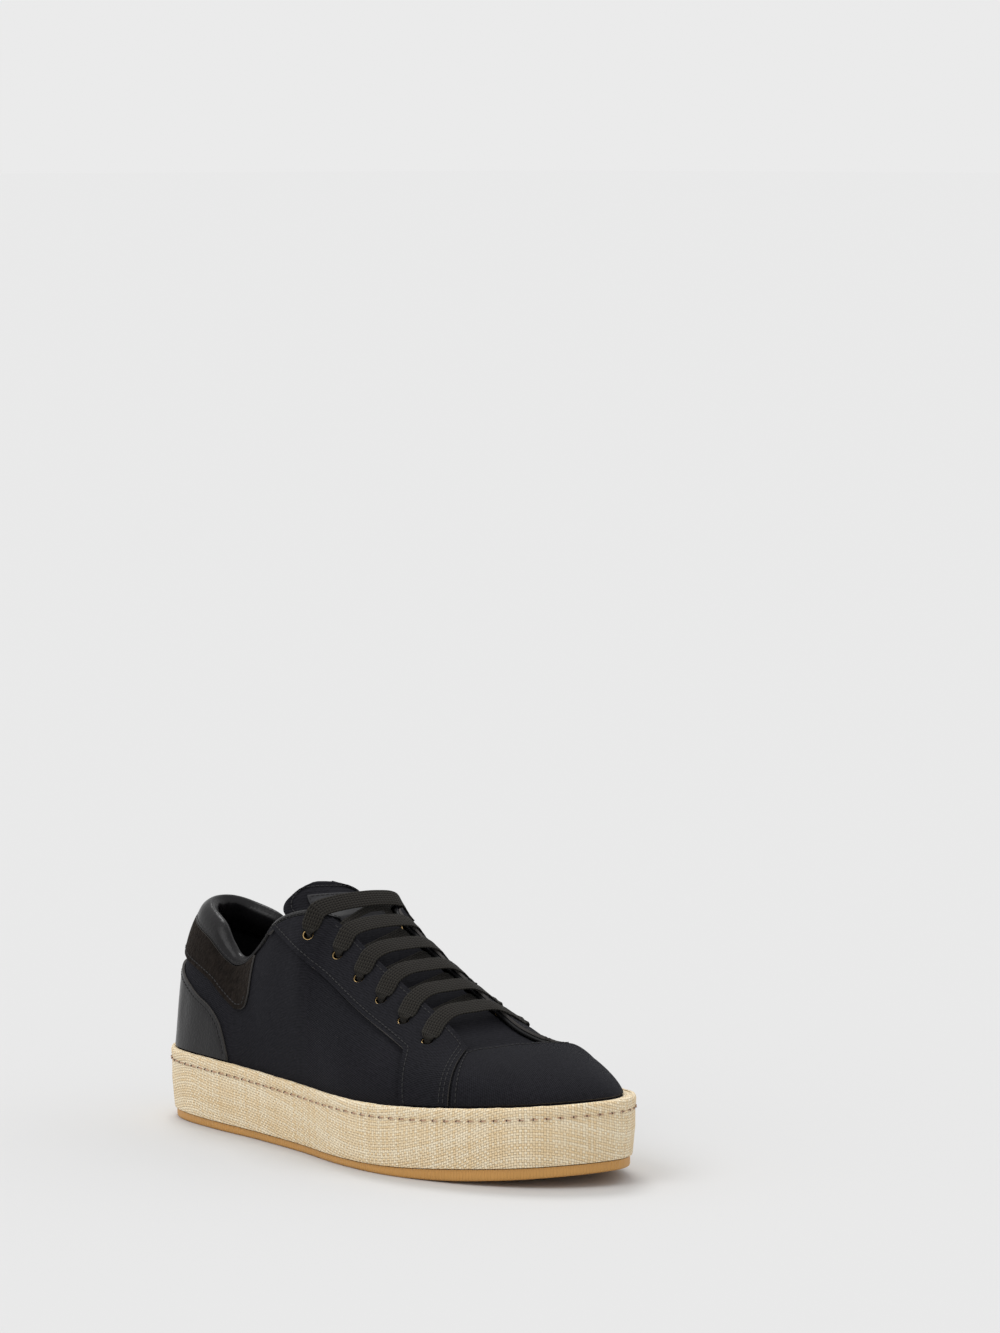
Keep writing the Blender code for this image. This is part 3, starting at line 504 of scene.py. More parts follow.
def laceLook():
    settings = {"dark": (0.0030, 0.0026, 0.0021), "light": (0.042, 0.038, 0.032), "rows": 7, "step": 0.0019}
    look = Look("laceBraid", settings["dark"], 0.90, {"Specular IOR Level": 0.08, "Sheen Weight": 0.04})
    u, v = look.metres()
    lane = (v * settings["rows"]).math("FRACT")
    arm = (lane - 0.5).math("ABSOLUTE")
    strands = (u + arm * (settings["step"] * 1.1)).wave(settings["step"])
    ridge = 1 - arm * 1.5
    height = strands * 0.40 + ridge * 0.60
    fuzz = look.noise(look.spot(u * 1500, v * 22), 1.0, 3.0)
    # painted highlight and shade: the colour follows the braid's height, lighter on its ridges and strands,
    # darker in the grooves between lanes
    look.set("Base Color", look.mix(height * 1.05 + fuzz * 0.35 - 0.38, settings["dark"], settings["light"]))
    look.bump(height + fuzz * 0.3, 0.0005)
    return look.material


def raffiaLook():
    settings = {
        "thread": 0.0013, "pale": (1.0, 0.87, 0.64), "deep": (0.84, 0.60, 0.31), "gap": (0.42, 0.26, 0.11),
    }
    look = Look("raffiaWeave", settings["pale"], 0.72, {"Specular IOR Level": 0.3})
    u, v = look.metres()
    wobble = look.noise(look.spot(u * 90, v * 90), 1.0) * 0.0009
    across, along = (u + wobble) / settings["thread"], (v + wobble) / settings["thread"]
    iu, iv = across.math("FLOOR"), along.math("FLOOR")
    odd = ((iu + iv) * 0.5).math("FRACT") * 2
    overU = (across.math("FRACT") * math.pi).math("SINE")
    overV = (along.math("FRACT") * math.pi).math("SINE")
    height = odd * overU + (1 - odd) * overV
    which = look.spot(iu * (1 - odd) + iv * odd * 3.7, odd * 5.0)
    shade = look.node("ShaderNodeTexWhiteNoise", (), {"Vector": which})
    broad = look.noise(look.spot(u * 70, v * 420), 1.0, 3.0)
    fibre = look.noise(look.spot(u * 500, v * 2600), 1.0, 2.0)
    tone = shade * 0.75 + broad * 0.55 + fibre * 0.25 - 0.44
    body = look.mix(tone.clamped(), settings["pale"], settings["deep"])
    # painted shade: where the weave is low, between the threads, the colour is darkened towards the gap colour
    look.set("Base Color", look.mix((0.42 - height).math("MAXIMUM", 0.0) * 1.4, body, settings["gap"]))
    look.bump(height + fibre * 0.3, 0.0005)
    return look.material


def gumLook():
    color = (0.56, 0.29, 0.080)
    look = Look("gumRubber", color, 0.48, {"Specular IOR Level": 0.45})
    place = look.objectPlace()
    look.mottle(look.noise(place, 26.0, 3.0), color, 0.86, 1.16)
    grooves = look.metres()[0].wave(0.0016) * 0.6 + look.noise(place, 300.0) * 0.4
    look.bump(grooves, 0.0004)
    return look.material


def plainLook(name, color, rough, fixed=(), grain=0.0):
    look = Look(name, color, rough, fixed)
    tone = look.noise(look.objectPlace(), 700.0)
    look.mottle(tone, color, 0.8, 1.2)
    if grain:
        look.bump(tone, grain)
    return look.material


looks = {
    "twill": twillLook("twillBlueBlack"),
    "twillCap": twillLook("twillCap", upright=True),
    "leather": leatherLook("leatherSmooth", (0.0060, 0.0056, 0.0062), 0.30),
    "lining": leatherLook("leatherLining", (0.0070, 0.0070, 0.0075), 0.46, 300.0),
    "bare": leatherLook("leatherBare", (0.018, 0.018, 0.020), 0.50),
    "suede": suedeLook(),
    "lace": laceLook(),
    "brass": plainLook("brassEyelet", (0.42, 0.29, 0.13), 0.34, {"Metallic": 1.0}),
    "raffia": raffiaLook(),
    "gum": gumLook(),
    # the panels' cut edges: a lighter grey, partly the raw edge's own colour and partly a painted highlight
    # along each edge
    "rawEdgeAndHighlight": plainLook("rawEdgeAndHighlight", (0.060, 0.055, 0.052), 0.85, grain=0.0002),
    "thread": plainLook("threadBlack", (0.030, 0.029, 0.030), 0.75, {"Specular IOR Level": 0.2}),
    "threadPale": plainLook("threadFadedPink", (0.50, 0.31, 0.21), 0.80),
    # painted shade: a dark brown for the insides of the sole's needle holes, put on small balls
    "needleHoleShade": plainLook("needleHoleShade", (0.045, 0.018, 0.010), 0.95),
    "footbed": plainLook("footbed", (0.012, 0.012, 0.013), 0.80, grain=0.0003),
}
print("looks ready:", len(looks))


def placed(name, data):
    made = bpy.data.objects.new(name, data)
    bpy.context.scene.collection.objects.link(made)
    return made


def meshOf(name, work):
    mesh = bpy.data.meshes.new(name)
    work.to_mesh(mesh)
    work.free()
    return mesh


def meshPiece(name, nodes, materials, work):
    # a finished piece: it stands for CAD nodes, or for none, and rides on the one body
    made = placed(name, meshOf(name, work))
    for item in materials:
        made.data.materials.append(looks[item])
    made.data.shade_smooth()
    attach(made, "root")
    if nodes:
        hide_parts(*nodes)
    print(name, len(made.data.polygons), "faces")
    return made


def gridPiece(name, node, materials, points, uv, join=0.0, shell=False, inside=(0, 0, 0.02)):
    # a create_grid whose vertices take the given places (columns, rows, 3); uv in metres
    columns, rows = points.shape[:2]
    points = points - middle
    work = bmesh.new()
    bmesh.ops.create_grid(work, x_segments=columns - 1, y_segments=rows - 1, size=0.5)
    layer = work.loops.layers.uv.new("metres")
    spots = {vert: (round((vert.co.x + 0.5) * (columns - 1)), round((vert.co.y + 0.5) * (rows - 1)))
             for vert in work.verts}
    for face in work.faces:
        for loop in face.loops:
            loop[layer].uv = uv[spots[loop.vert]]
    for vert, spot in spots.items():
        vert.co = points[spot]
    if join:
        bmesh.ops.remove_doubles(work, verts=work.verts, dist=join)
    if shell:
        # open ends are closed, and the whole skin faces outwards
        ends = [edge for edge in work.edges if edge.is_boundary]
        if ends:
            bmesh.ops.edgenet_fill(work, edges=ends)
        bmesh.ops.recalc_face_normals(work, faces=work.faces)
    else:
        work.normal_update()
        centre = Vector(inside)
        facing = sum(face.normal.dot(face.calc_center_median() - centre) * face.calc_area()
                     for face in work.faces)
        if facing < 0:
            bmesh.ops.reverse_faces(work, faces=work.faces)
    return meshPiece(name, [node], materials, work)


def thicken(made, thickness, outwards, bevel=0.0, rim=False, inner=False):
    shell = made.modifiers.new("thickness", "SOLIDIFY")
    shell.thickness = thickness
    shell.offset = 1.0 if outwards else -1.0
    shell.use_even_offset = False
    if rim:
        shell.material_offset_rim = len(made.data.materials) - 1
    if inner:
        shell.material_offset = 1
        shell.material_offset_rim = 1
    if bevel:
        soft = made.modifiers.new("soft edge", "BEVEL")
        soft.width = bevel
        soft.segments = 3
        soft.limit_method = "ANGLE"
        soft.angle_limit = math.radians(50)
    made.data.set_sharp_from_angle(angle=math.radians(60))
    return made


def skinUv(turns, drops):
    return np.stack([np.broadcast_to(turns * halfGirth, drops.shape), drops], axis=-1)


sewing = {"dent": 0.00050, "dentWidth": 0.0010, "least": 0.0002, "softEdge": 0.00040, "holeSides": 28}


def dent(points, seams, depth=sewing["dent"], width=sewing["dentWidth"]):
    # how far the cloth is pulled down beside its stitches
    line = np.concatenate([part["points"] for part in seams])
    nearest = np.full(points.shape[:-1], 1.0)
    for chunk in np.array_split(line, max(1, len(line) // 40)):
        nearest = np.minimum(nearest, np.linalg.norm(points[..., None, :] - chunk, axis=-1).min(axis=-1))
    return depth * np.exp(-(nearest / width)**2)


def cutHoles(made, holes):
    # round holes through a thickened piece, made part of its mesh
    work = bmesh.new()
    for matrix, radius in holes:
        bmesh.ops.create_cone(work, cap_ends=True, segments=sewing["holeSides"], radius1=radius, radius2=radius,
                              depth=0.012, matrix=matrix)
    pins = placed("pins", meshOf("pins", work))
    cut = made.modifiers.new("holes", "BOOLEAN")
    cut.operation = "DIFFERENCE"
    cut.solver = "EXACT"
    cut.object = pins
    bpy.context.view_layer.update()
    done = bpy.data.meshes.new_from_object(made.evaluated_get(bpy.context.evaluated_depsgraph_get()))
    made.modifiers.clear()
    made.data = done
    bpy.data.meshes.remove(pins.data)


def panel(name, node, turns, tops, bottoms, rows, look, seams, thickness=last["overlay"],
          lift=last["panelLift"], holes=()):
    # a cut panel on the skin, dented along its seams, with a raw edge in a lighter grey that is partly painted
    # highlight
    v = np.linspace(0, 1, rows)
    drops = tops[:, None] * (1 - v) + bottoms[:, None] * v
    grid = np.broadcast_to(turns[:, None], drops.shape)
    lift = np.reshape(lift, (-1, 1)) - dent(skin(grid, drops, last["panelLift"]), seams)
    made = gridPiece(name, node, [look, "rawEdgeAndHighlight"], skin(grid, drops, np.maximum(lift, sewing["least"])),
                     skinUv(grid, drops))
    thicken(made, thickness, True, bevel=sewing["softEdge"], rim=True)
    if holes:
        cutHoles(made, holes)


def seam(turns, drops, inset, lift, sign=1.0):
    # a line on the skin, moved sideways by inset and lifted
    points, normals = skinAndNormal(turns, drops, 0.0)
    side = unit(np.cross(normals, np.gradient(points, axis=0)))
    return {"points": points + side * inset * sign + normals * lift, "normals": normals}


def stitchPlaces(line, pitch, size):
    # one matrix per stitch along a line: size is length, width and height
    points, normals = line["points"] - middle, line["normals"]
    run = runAlong(points)
    count = int(run[-1] / pitch)
    at = (np.arange(count) + 0.5) * run[-1] / count
    spots, along, up = (pick(at, run, part) for part in (points, np.gradient(points, axis=0), normals))
    along = unit(along)
    side = unit(np.cross(up, along))
    up = np.cross(along, side)
    turned = np.stack([side * size[1], up * size[2], along * size[0]], axis=-1) * 0.5
    return spots, turned


def sewn(name, lines, pitch, size, look):
    # a small ball, stretched and turned at each stitch, all joined in one mesh
    spots, turned = (np.concatenate(part) for part in zip(*(stitchPlaces(line, pitch, size) for line in lines)))
    work = bmesh.new()
    bmesh.ops.create_uvsphere(work, u_segments=8, v_segments=6, radius=1.0)
    seed = meshOf("ball", work)
    work = bmesh.new()
    work.from_mesh(seed)
    bpy.data.meshes.remove(seed)
    parts = (work.verts, work.edges, work.faces)
    sizes = [len(part) for part in parts]
    ball = np.array([vert.co for vert in work.verts])
    count = 1
    while count < len(spots):
        more = min(count, len(spots) - count)
        geom = [item for part, size in zip(parts, sizes) for item in part[:more * size]]
        bmesh.ops.duplicate(work, geom=geom)
        count += more
    places = (np.einsum("nij,vj->nvi", turned, ball) + spots[:, None]).reshape(-1, 3)
    for vert, place in zip(work.verts, places):
        vert.co = place
    meshPiece(name, [], [look], work)


# the seams of the upper, which dent the cloth and carry the thread
eyestay = {
    # places as shares of the way from heel to toe; the panel steps up where the collar band ends
    "back": 0.340, "legBack": 0.670, "legRound": 0.012, "legFront": 0.748, "bandEnd": 16 / 36,
    "bandStep": 0.008, "lift": 0.0004, "stepLift": 0.0007, "rows": 44, "least": 0.0015,
}
eyelets = {
    "count": 6, "first": 0.431, "last": 0.688, "bore": 0.0022, "wall": 0.0004, "flange": 0.0031,
    "edge": 0.0125, "edgeEnd": 0.0178, "play": 0.00025,
}
stitch = {"size": (0.0022, 0.00060, 0.00055), "pitch": 0.0026, "edge": 0.0024, "double": 0.0046, "end": 0.001}
quarterSeam = {"share": 0.245, "half": 0.0012}
outerFace = last["panelLift"] + last["overlay"]
capFace = last["panelLift"] + last["capThick"]
capStart = eyestay["legFront"] + 0.0045


def eyestayEdges(turns):
    share = shareOf(turns)
    top = np.where(share < eyestay["bandEnd"] + 0.9 * eyestay["bandStep"], bandDrop(share) + last["gap"], 0.0)
    corner = eyestay["legBack"] - eyestay["legRound"]
    low, rim = edgeDrops(eyestayRows, turns), rimDrop(turns)
    blend = np.clip((share - corner) / eyestay["legRound"], 0, 1)
    blend = blend * blend * (3 - 2 * blend)
    low = np.where(share > corner, low + (rim - low) * blend, low)
    return top, np.maximum(low, top + eyestay["least"])


def eyestayTurns(side):
    corner = eyestay["legBack"] - eyestay["legRound"]
    shares = np.concatenate([
        np.linspace(eyestay["back"], eyestay["bandEnd"] + 0.5 * eyestay["bandStep"], 30),
        np.linspace(eyestay["bandEnd"] + eyestay["bandStep"], corner, 66),
        np.linspace(corner, eyestay["legBack"], 14)[1:],
        np.linspace(eyestay["legBack"], eyestay["legFront"], 26)[1:],
    ])
    return shares if side < 0 else (2 - shares)[::-1]


def sided(share, side):
    return share if side < 0 else 2 - share


def eyeletShares():
    return np.linspace(eyelets["first"], eyelets["last"], eyelets["count"])


def eyeletDrop(share):
    along = (share - eyelets["first"]) / (eyelets["last"] - eyelets["first"])
    return eyelets["edge"] + (eyelets["edgeEnd"] - eyelets["edge"]) * along


def eyeletMatrix(turn):
    centre, out = skinAndNormal(turn, eyeletDrop(shareOf(turn)))
    turned = Vector(out).to_track_quat("Z", "Y").to_matrix().to_4x4()
    return Matrix.Translation(Vector(centre - middle)) @ turned


def downSeam(turn, start, count, lift):
    # a seam that runs down the skin to the rim
    return seam(np.full(count, turn), np.linspace(start, rimDrop(turn) - stitch["end"], count), 0.0, lift)


cloth = {
    "eyestay": {-1: [], 1: []}, "cap": [], "counter": [], "heelPatch": [], "quarter": [], "band": [],
    "edges": [],        # no thread: the shell dips beside the eyestays' lower edges
}
for side in (-1, 1):
    rows = cloth["eyestay"][side]
    backTurns = sided(np.concatenate([np.linspace(0.350, 0.657, 120), np.linspace(0.658, 0.6699, 60)]), side)
    lowDrops = eyestayEdges(backTurns)[1]
    rows.append(seam(backTurns, lowDrops, stitch["edge"], outerFace, -side))
    throat = sided(np.linspace(0.462, 0.742, 120), side)
    rows.append(seam(throat, np.zeros(120), stitch["edge"], outerFace, side))
    for inset in (stitch["edge"], stitch["double"]):
        rows.append(downSeam(sided(eyestay["legFront"] - inset / halfGirth, side), 0.004, 60, outerFace))
    cloth["edges"].append(seam(backTurns, lowDrops, -0.0005, 0.0, -side))
    cloth["cap"].append(downSeam(sided(capStart + stitch["edge"] / halfGirth, side), 0.002, 80, capFace))
    cloth["quarter"].append(downSeam(2 - quarterSeam["share"] + side * quarterSeam["half"] / halfGirth,
                                     bandDrop(quarterSeam["share"]) + 0.001, 70, 0.0002))
turns = np.linspace(capStart + 0.01, 2 - capStart - 0.01, 160)
cloth["cap"].append(seam(turns, np.full(160, stitch["edge"]), 0.0, capFace))
turns = np.linspace(-0.243, 0.243, 200)
cloth["counter"].append(seam(turns, edgeDrops(counterRows, turns), stitch["edge"], outerFace, -1))
turns = np.linspace(-0.286, 0.286, 220)
cloth["heelPatch"].append(seam(turns, edgeDrops(heelPatchRows, turns), stitch["edge"], outerFace, 1))
turns = np.linspace(-eyestay["bandEnd"], eyestay["bandEnd"], 420)
cloth["band"].append(seam(turns, bandDrop(shareOf(turns)) - 0.0012, 0.0, 1.2 * last["gap"] + 0.0009))
print("seams ready")

# the upper's shell, then the panels sewn on it
shell = {"columns": 480, "rows": 30, "dent": 0.0006, "dentWidth": 0.0016}
eyeletBore = eyelets["bore"] + eyelets["wall"] + eyelets["play"]
holes = {side: [(eyeletMatrix(sided(share, side)), eyeletBore) for share in eyeletShares()] for side in (-1, 1)}


def makeUpper():
    turns = np.linspace(0, 2, shell["columns"] + 1)
    length = ribLength(turns)
    foot = outline(turns)[:, 0]
    bottom = length + soleLevel(foot, 2) - last["dig"] - soleLevel(foot, 3) - 2 * last["gap"]
    drops = np.concatenate([length[:, None] * np.linspace(0, 1, shell["rows"]), bottom[:, None]], axis=1)
    grid = np.broadcast_to(turns[:, None], drops.shape)
    pull = dent(skin(grid, drops), cloth["quarter"] + cloth["edges"], shell["dent"], shell["dentWidth"])
    made = gridPiece("upperShell", "upper", ["twill", "lining"], skin(grid, drops, -pull),
                     skinUv(grid, drops), join=1e-6)
    thicken(made, last["wall"], False, inner=True)
    cutHoles(made, holes[-1] + holes[1])


makeUpper()
for side, word in ((-1, "lateral"), (1, "medial")):
    turns = eyestayTurns(side)
    tops, bottoms = eyestayEdges(turns)
    share = shareOf(turns)
    rising = (share > eyestay["bandEnd"]) & (share < eyestay["bandEnd"] + 1.1 * eyestay["bandStep"])
    lift = np.where(rising, eyestay["stepLift"], eyestay["lift"])
    panel(f"eyestay{word.capitalize()}", f"eyestay_{word}", turns, tops, bottoms, eyestay["rows"],
          "twill", cloth["eyestay"][side], lift=lift, holes=holes[side])

turns = np.linspace(capStart, 2 - capStart, 150)
panel("toeCap", "toe_cap", turns, np.zeros(150), rimDrop(turns), 44, "twillCap", cloth["cap"],
      thickness=last["capThick"])

turns = np.linspace(-0.246, 0.246, 170)
tops = np.minimum(edgeDrops(counterRows, turns), rimDrop(turns) - 0.001)
panel("heelCounter", "heel_counter", turns, tops, rimDrop(turns), 34, "leather",
      cloth["counter"])

turns = np.linspace(-0.289, 0.289, 190)
panel("heelPatch", "heel_patch", turns, bandDrop(shareOf(turns)) + last["gap"],
      edgeDrops(heelPatchRows, turns), 26, "suede", cloth["heelPatch"])

print("upper ready")

# the padded collar, closed round the top line
collar = {"columns": 340, "rows": 45, "thick": 0.0009, "clear": 0.0007, "wrinkle": 0.00055, "sink": 0.00025}


def makeCollar():
    turns = np.linspace(-eyestay["bandEnd"], eyestay["bandEnd"], collar["columns"])
    outer, inner, pad = np.moveaxis(hermite(bandRows, shareOf(turns)), -1, 0)
    front, back = 1.2 * last["gap"], last["wall"] + 2.2 * last["gap"]
    face = front + collar["thick"]
    one = np.ones_like(turns)
    # seen side, from the outer leg over the top to the inner leg
    seen = np.array([
        [outer, one * front], [outer - 0.0002, one * face], [outer * 0.70, face + pad * 0.12],
        [outer * 0.35, face + pad * 0.18], [-0.0010 * one, front + 0.0002 * one],
        [-0.0016 * one, -0.4 * (last["wall"] + pad)], [-0.0004 * one, -(back + pad * 0.8)],
        [inner * 0.35, -(back + collar["thick"] + pad)], [inner * 0.75, -(back + collar["thick"] + pad * 0.5)],
        [inner - 0.0002, -(back + collar["thick"]) * one], [inner, -back * one],
    ])
    knots = np.linspace(0, 1, len(seen))
    fine = np.linspace(0, 1, collar["rows"])
    curve = hermite(np.column_stack([knots, seen.reshape(len(seen), -1)]), fine).reshape(len(fine), 2, -1)
    hidden = np.array([[-collar["clear"] * one, -back * one], [-collar["clear"] * one, front * one],
                       [outer, one * front]])
    cross = np.concatenate([curve, hidden])
    drops, lifts = cross[:, 0].T, cross[:, 1].T
    lining = np.clip((-lifts - back) / (pad[:, None] + 1e-4), 0, 1)
    folds = (np.sin(turns * 96 + 1.3 * np.sin(turns * 31)) * 0.6 + np.sin(turns * 57 + 2.0) * 0.4)[:, None]
    lifts = lifts - lining * folds * collar["wrinkle"] * np.clip(pad[:, None] / 0.003, 0.15, 1)
    sink = np.exp(-((drops - (outer[:, None] - 0.0012)) / 0.0007)**2) * (lifts > front) * collar["sink"]
    grid = np.broadcast_to(turns[:, None], drops.shape)
    steps = np.linalg.norm(np.diff(cross, axis=0), axis=1).mean(axis=1)
    girth = np.concatenate([[0], np.cumsum(steps)])
    uv = np.stack([grid * halfGirth, np.broadcast_to(girth, drops.shape)], axis=-1)
    made = gridPiece("collarBinding", "collar_binding", ["leather"],
                     skin(grid, drops, lifts - sink), uv, join=1e-6, shell=True)
    made.data.set_sharp_from_angle(angle=math.radians(60))


makeCollar()

# the tongue and its bare leather patch
tongue = {
    "thick": 0.0030, "drop": 0.0016, "side": 0.009, "sideTop": 0.005, "crown": 0.07, "columns": 61,
    "topShare": 0.452, "baseShare": 0.742, "tuck": 0.0035, "front": 0.235, "seat": 0.15,
    # the free end: its size, how it leans and bends back, and how it narrows to a rounded tip
    "half": 0.0258, "rise": 0.0155, "reach": 0.024, "bend": 0.50, "curl": 0.018, "uncurl": 0.7, "skew": 0.08,
    "twist": 0.16, "shift": 0.0022, "taper": 0.72, "round": 0.10, "blend": 0.5,
    "border": 0.0019, "inset": 0.0029, "dent": 0.0006, "dentWidth": 0.0013, "patch": 0.0009,
}


def across(share, sideDrop, lift, count):
    # a section over the instep, from the outer eyestay across the throat to the inner one
    outer = skin(np.full(9, share), np.linspace(sideDrop, 0.0, 9), lift)
    inner = skin(np.full(9, 2 - share), np.linspace(0.0, sideDrop, 9), lift)
    start, end = outer[-1], inner[0]
    reach = tongue["crown"] * np.linalg.norm(end - start)
    handles = (start, start + unit(outer[-1] - outer[-2]) * reach, end + unit(inner[0] - inner[1]) * reach, end)
    bridge = bezier(handles, np.linspace(0, 1, 21)[1:-1])
    points = np.array([*outer, *bridge, *inner])
    run = runAlong(points)
    return pick(np.linspace(0, run[-1], count), run, points)


def tongueRow(share):
    top = (tongue["baseShare"] - share) / (tongue["baseShare"] - tongue["topShare"])
    side = tongue["side"] + (tongue["sideTop"] - tongue["side"]) * top
    down = last["wall"] + last["gap"] + tongue["drop"] * min(1.0, tongue["seat"] + 2.5 * top)
    return across(share, side, -down, tongue["columns"])


def tongueHalf(step):
    # half its width on the way to the tip
    return tongue["half"] * (1 - tongue["taper"] * step**5)


tongueShares = np.linspace(tongue["baseShare"], tongue["topShare"], 44)
tongueTips = np.linspace(0.04, 1.0, 25)
frontRows = 14


def makeTongueGrid():
    rows = [tongueRow(s) for s in tongueShares]
    final = rows[-1]
    centre = final[tongue["columns"] // 2]
    w = np.linspace(-1, 1, tongue["columns"])
    for step in tongueTips:
        y = tongueHalf(step) * w
        up = step * (1 - tongue["round"] * w**4 - tongue["skew"] * y / tongue["half"])
        high = tongue["rise"] * up * (1 - tongue["bend"] * (1 - up))
        climb = np.stack([-tongue["reach"] * up, 0 * w, high], -1)
        back = tongue["curl"] * (1 - tongue["uncurl"] * step) * (y / tongue["half"])**2
        bent = np.stack([tongue["twist"] * y * step - back, y - tongue["shift"], -0.2 * back], -1)
        tip = centre + climb + bent
        keep = max(0.0, 1 - step / tongue["blend"])**2
        rows.append(tip * (1 - keep) + (final + climb) * keep)
    # in front it follows the slanting end of the throat, tucked under the toe cap
    tuck = tongue["tuck"] + (tongue["side"] - tongue["tuck"]) * w * w
    depth = last["wall"] + 6 * last["gap"] + tongue["seat"] * tongue["drop"]
    front = skin(1 + tongue["front"] * w, tuck, -depth)
    return np.array([*(front + (rows[0] - front) * share for share in np.linspace(0, 0.95, frontRows)), *rows])


tongueGrid = makeTongueGrid()
tongueNormals = unit(np.cross(np.gradient(tongueGrid, axis=1), np.gradient(tongueGrid, axis=0)))


def onTongue(rows, columns, lift=0.0):
    # places and normals at broken row and column numbers of the tongue's grid
    rows, columns = np.asarray(rows, dtype=float), np.asarray(columns, dtype=float)
    i = np.clip(rows.astype(int), 0, tongueGrid.shape[0] - 2)
    j = np.clip(columns.astype(int), 0, tongueGrid.shape[1] - 2)
    f, g = (rows - i)[:, None], (columns - j)[:, None]
    parts = []
    for grid in (tongueGrid, tongueNormals):
        parts.append((grid[i, j] * (1 - f) + grid[i + 1, j] * f) * (1 - g)
                     + (grid[i, j + 1] * (1 - f) + grid[i + 1, j + 1] * f) * g)
    return {"points": parts[0] + unit(parts[1]) * lift, "normals": unit(parts[1])}


def tongueUv(grid):
    down = runAlong(grid.mean(axis=1))
    return np.stack([grid[..., 1], np.broadcast_to(down[:, None], grid.shape[:2])], axis=-1)


lastRow = tongueGrid.shape[0] - 1
lastColumn = tongue["columns"] - 1
patchRows, patchColumns = slice(frontRows + 41, frontRows + 61), slice(12, 49)


def rimColumn(rows):
    # the column that lies the stitch inset inside the tongue's narrowing edge
    step = np.clip(1 - (lastRow - rows) / len(tongueTips), 0, 1)
    return tongue["inset"] / tongueHalf(step) * lastColumn / 2


def tongueLine(rise, left, lift=0.0):
    # a seam up one side of the tongue, across it and down the other side
    rows = np.concatenate([rise, np.full(40, rise[-1]), rise[::-1]])
    columns = np.concatenate([left, np.linspace(left[-1], lastColumn - left[-1], 40), lastColumn - left[::-1]])
    return onTongue(rows, columns, lift)


rise = np.linspace(frontRows + 39, lastRow - 3.2, 60)
tongueRim = tongueLine(rise, rimColumn(rise))
rise = np.linspace(patchRows.start + 0.9, patchRows.stop - 1.9, 40)
patchSeam = tongueLine(rise, np.full(40, patchColumns.start + 1.2), last["gap"] + tongue["patch"])


def makeTongue():
    # a closed sheet, rounded at its borders
    pull = dent(tongueGrid, [tongueRim], tongue["dent"], tongue["dentWidth"])
    run = runAlong(tongueGrid[:, lastColumn // 2])
    sides = (1 - np.abs(np.linspace(-1, 1, tongue["columns"]))) * tongue["half"]
    border = np.minimum(np.minimum(run, run[-1] - run)[:, None], sides[None])
    full = np.sqrt(1 - (1 - np.clip(border / tongue["border"], 0, 1))**2)[..., None]
    down = unit(tongueNormals * 0.35 + tongueNormals[:, lastColumn // 2][:, None] * 0.65) * -tongue["thick"]
    upper = tongueGrid + down * 0.5 * (1 - full) - tongueNormals * (pull[..., None] * full)
    lower = tongueGrid + down * 0.5 * (1 + full)
    points = np.concatenate([upper, lower[:, -2::-1]], axis=1)
    uv = tongueUv(tongueGrid)
    uv = np.concatenate([uv, uv[:, -2::-1]], axis=1)
    gridPiece("tongueSheet", "tongue", ["twill"], points, uv, join=2e-5, shell=True)
    part = (tongueGrid + tongueNormals * last["gap"])[patchRows, patchColumns]
    made = gridPiece("tonguePatch", "tongue_patch", ["bare"], part, tongueUv(part),
                     inside=(0.03, 0, 0.0))
    thicken(made, tongue["patch"], True, bevel=0.0003)


makeTongue()


def makeEyelets():
    # turned brass rings through the upper and the eyestays
    bore, barrel = eyelets["bore"], eyelets["bore"] + eyelets["wall"]
    top, back = last["panelLift"] + last["overlay"] - 0.0008, -(last["wall"] + 0.0010)
    profile = [       # radius and height, from the inner flange through the barrel to the outer lip
        (bore, back - 0.0004), (eyelets["flange"] - 0.0002, back - 0.0004), (eyelets["flange"], back - 0.0002),
        (eyelets["flange"] - 0.0002, back), (barrel, back + 0.0001), (barrel, top - 0.0002),
        (barrel + 0.0002, top + 0.00010), (barrel + 0.0001, top + 0.00025), (bore + 0.0001, top + 0.00020),
        (bore, top - 0.0002),
    ]
    work = bmesh.new()
    for side in (-1, 1):
        for share in eyeletShares():
            matrix = eyeletMatrix(sided(share, side))
            verts = [work.verts.new((r, 0, z)) for r, z in profile]
            edges = [work.edges.new(pair) for pair in zip(verts, verts[1:] + verts[:1])]
            bmesh.ops.spin(work, geom=verts + edges, cent=(0, 0, 0), axis=(0, 0, 1), angle=2 * math.pi,
                           steps=24, use_merge=True)
            fresh = [v for v in work.verts if not v.tag]
            bmesh.ops.transform(work, matrix=matrix, verts=fresh)
            for vert in work.verts:
                vert.tag = True
    bmesh.ops.recalc_face_normals(work, faces=work.faces)
    nodes = [f"eyelet_{word}_{n}" for word in ("lateral", "medial") for n in range(1, 7)]
    meshPiece("eyeletRings", nodes, ["brass"], work)


makeEyelets()

# one flat braid: bars over the throat, crossings under it, hidden ends
lace = {
    "width": 0.0093, "pinch": 0.0040, "thick": 0.0011, "bunch": 0.0017, "arch": 0.0010, "step": 0.0011,
    "sides": 20, "over": 0.0021, "under": -0.00275, "ends": 0.0045,
    # the hidden end: millimetres in from the hole, lift and width
    "tail": [(7.0, -0.0032, 0.0080), (2.0, -0.0040, 0.0090), (-3.4, -0.0041, 0.0090)], "tailThick": 0.0010,
    # a crossing: place across the throat and width
    "crossing": [(0.93, 0.0062), (0.78, 0.0088), (0.5, 0.0093), (0.2, 0.0093)], "crossThick": 0.0009,
}
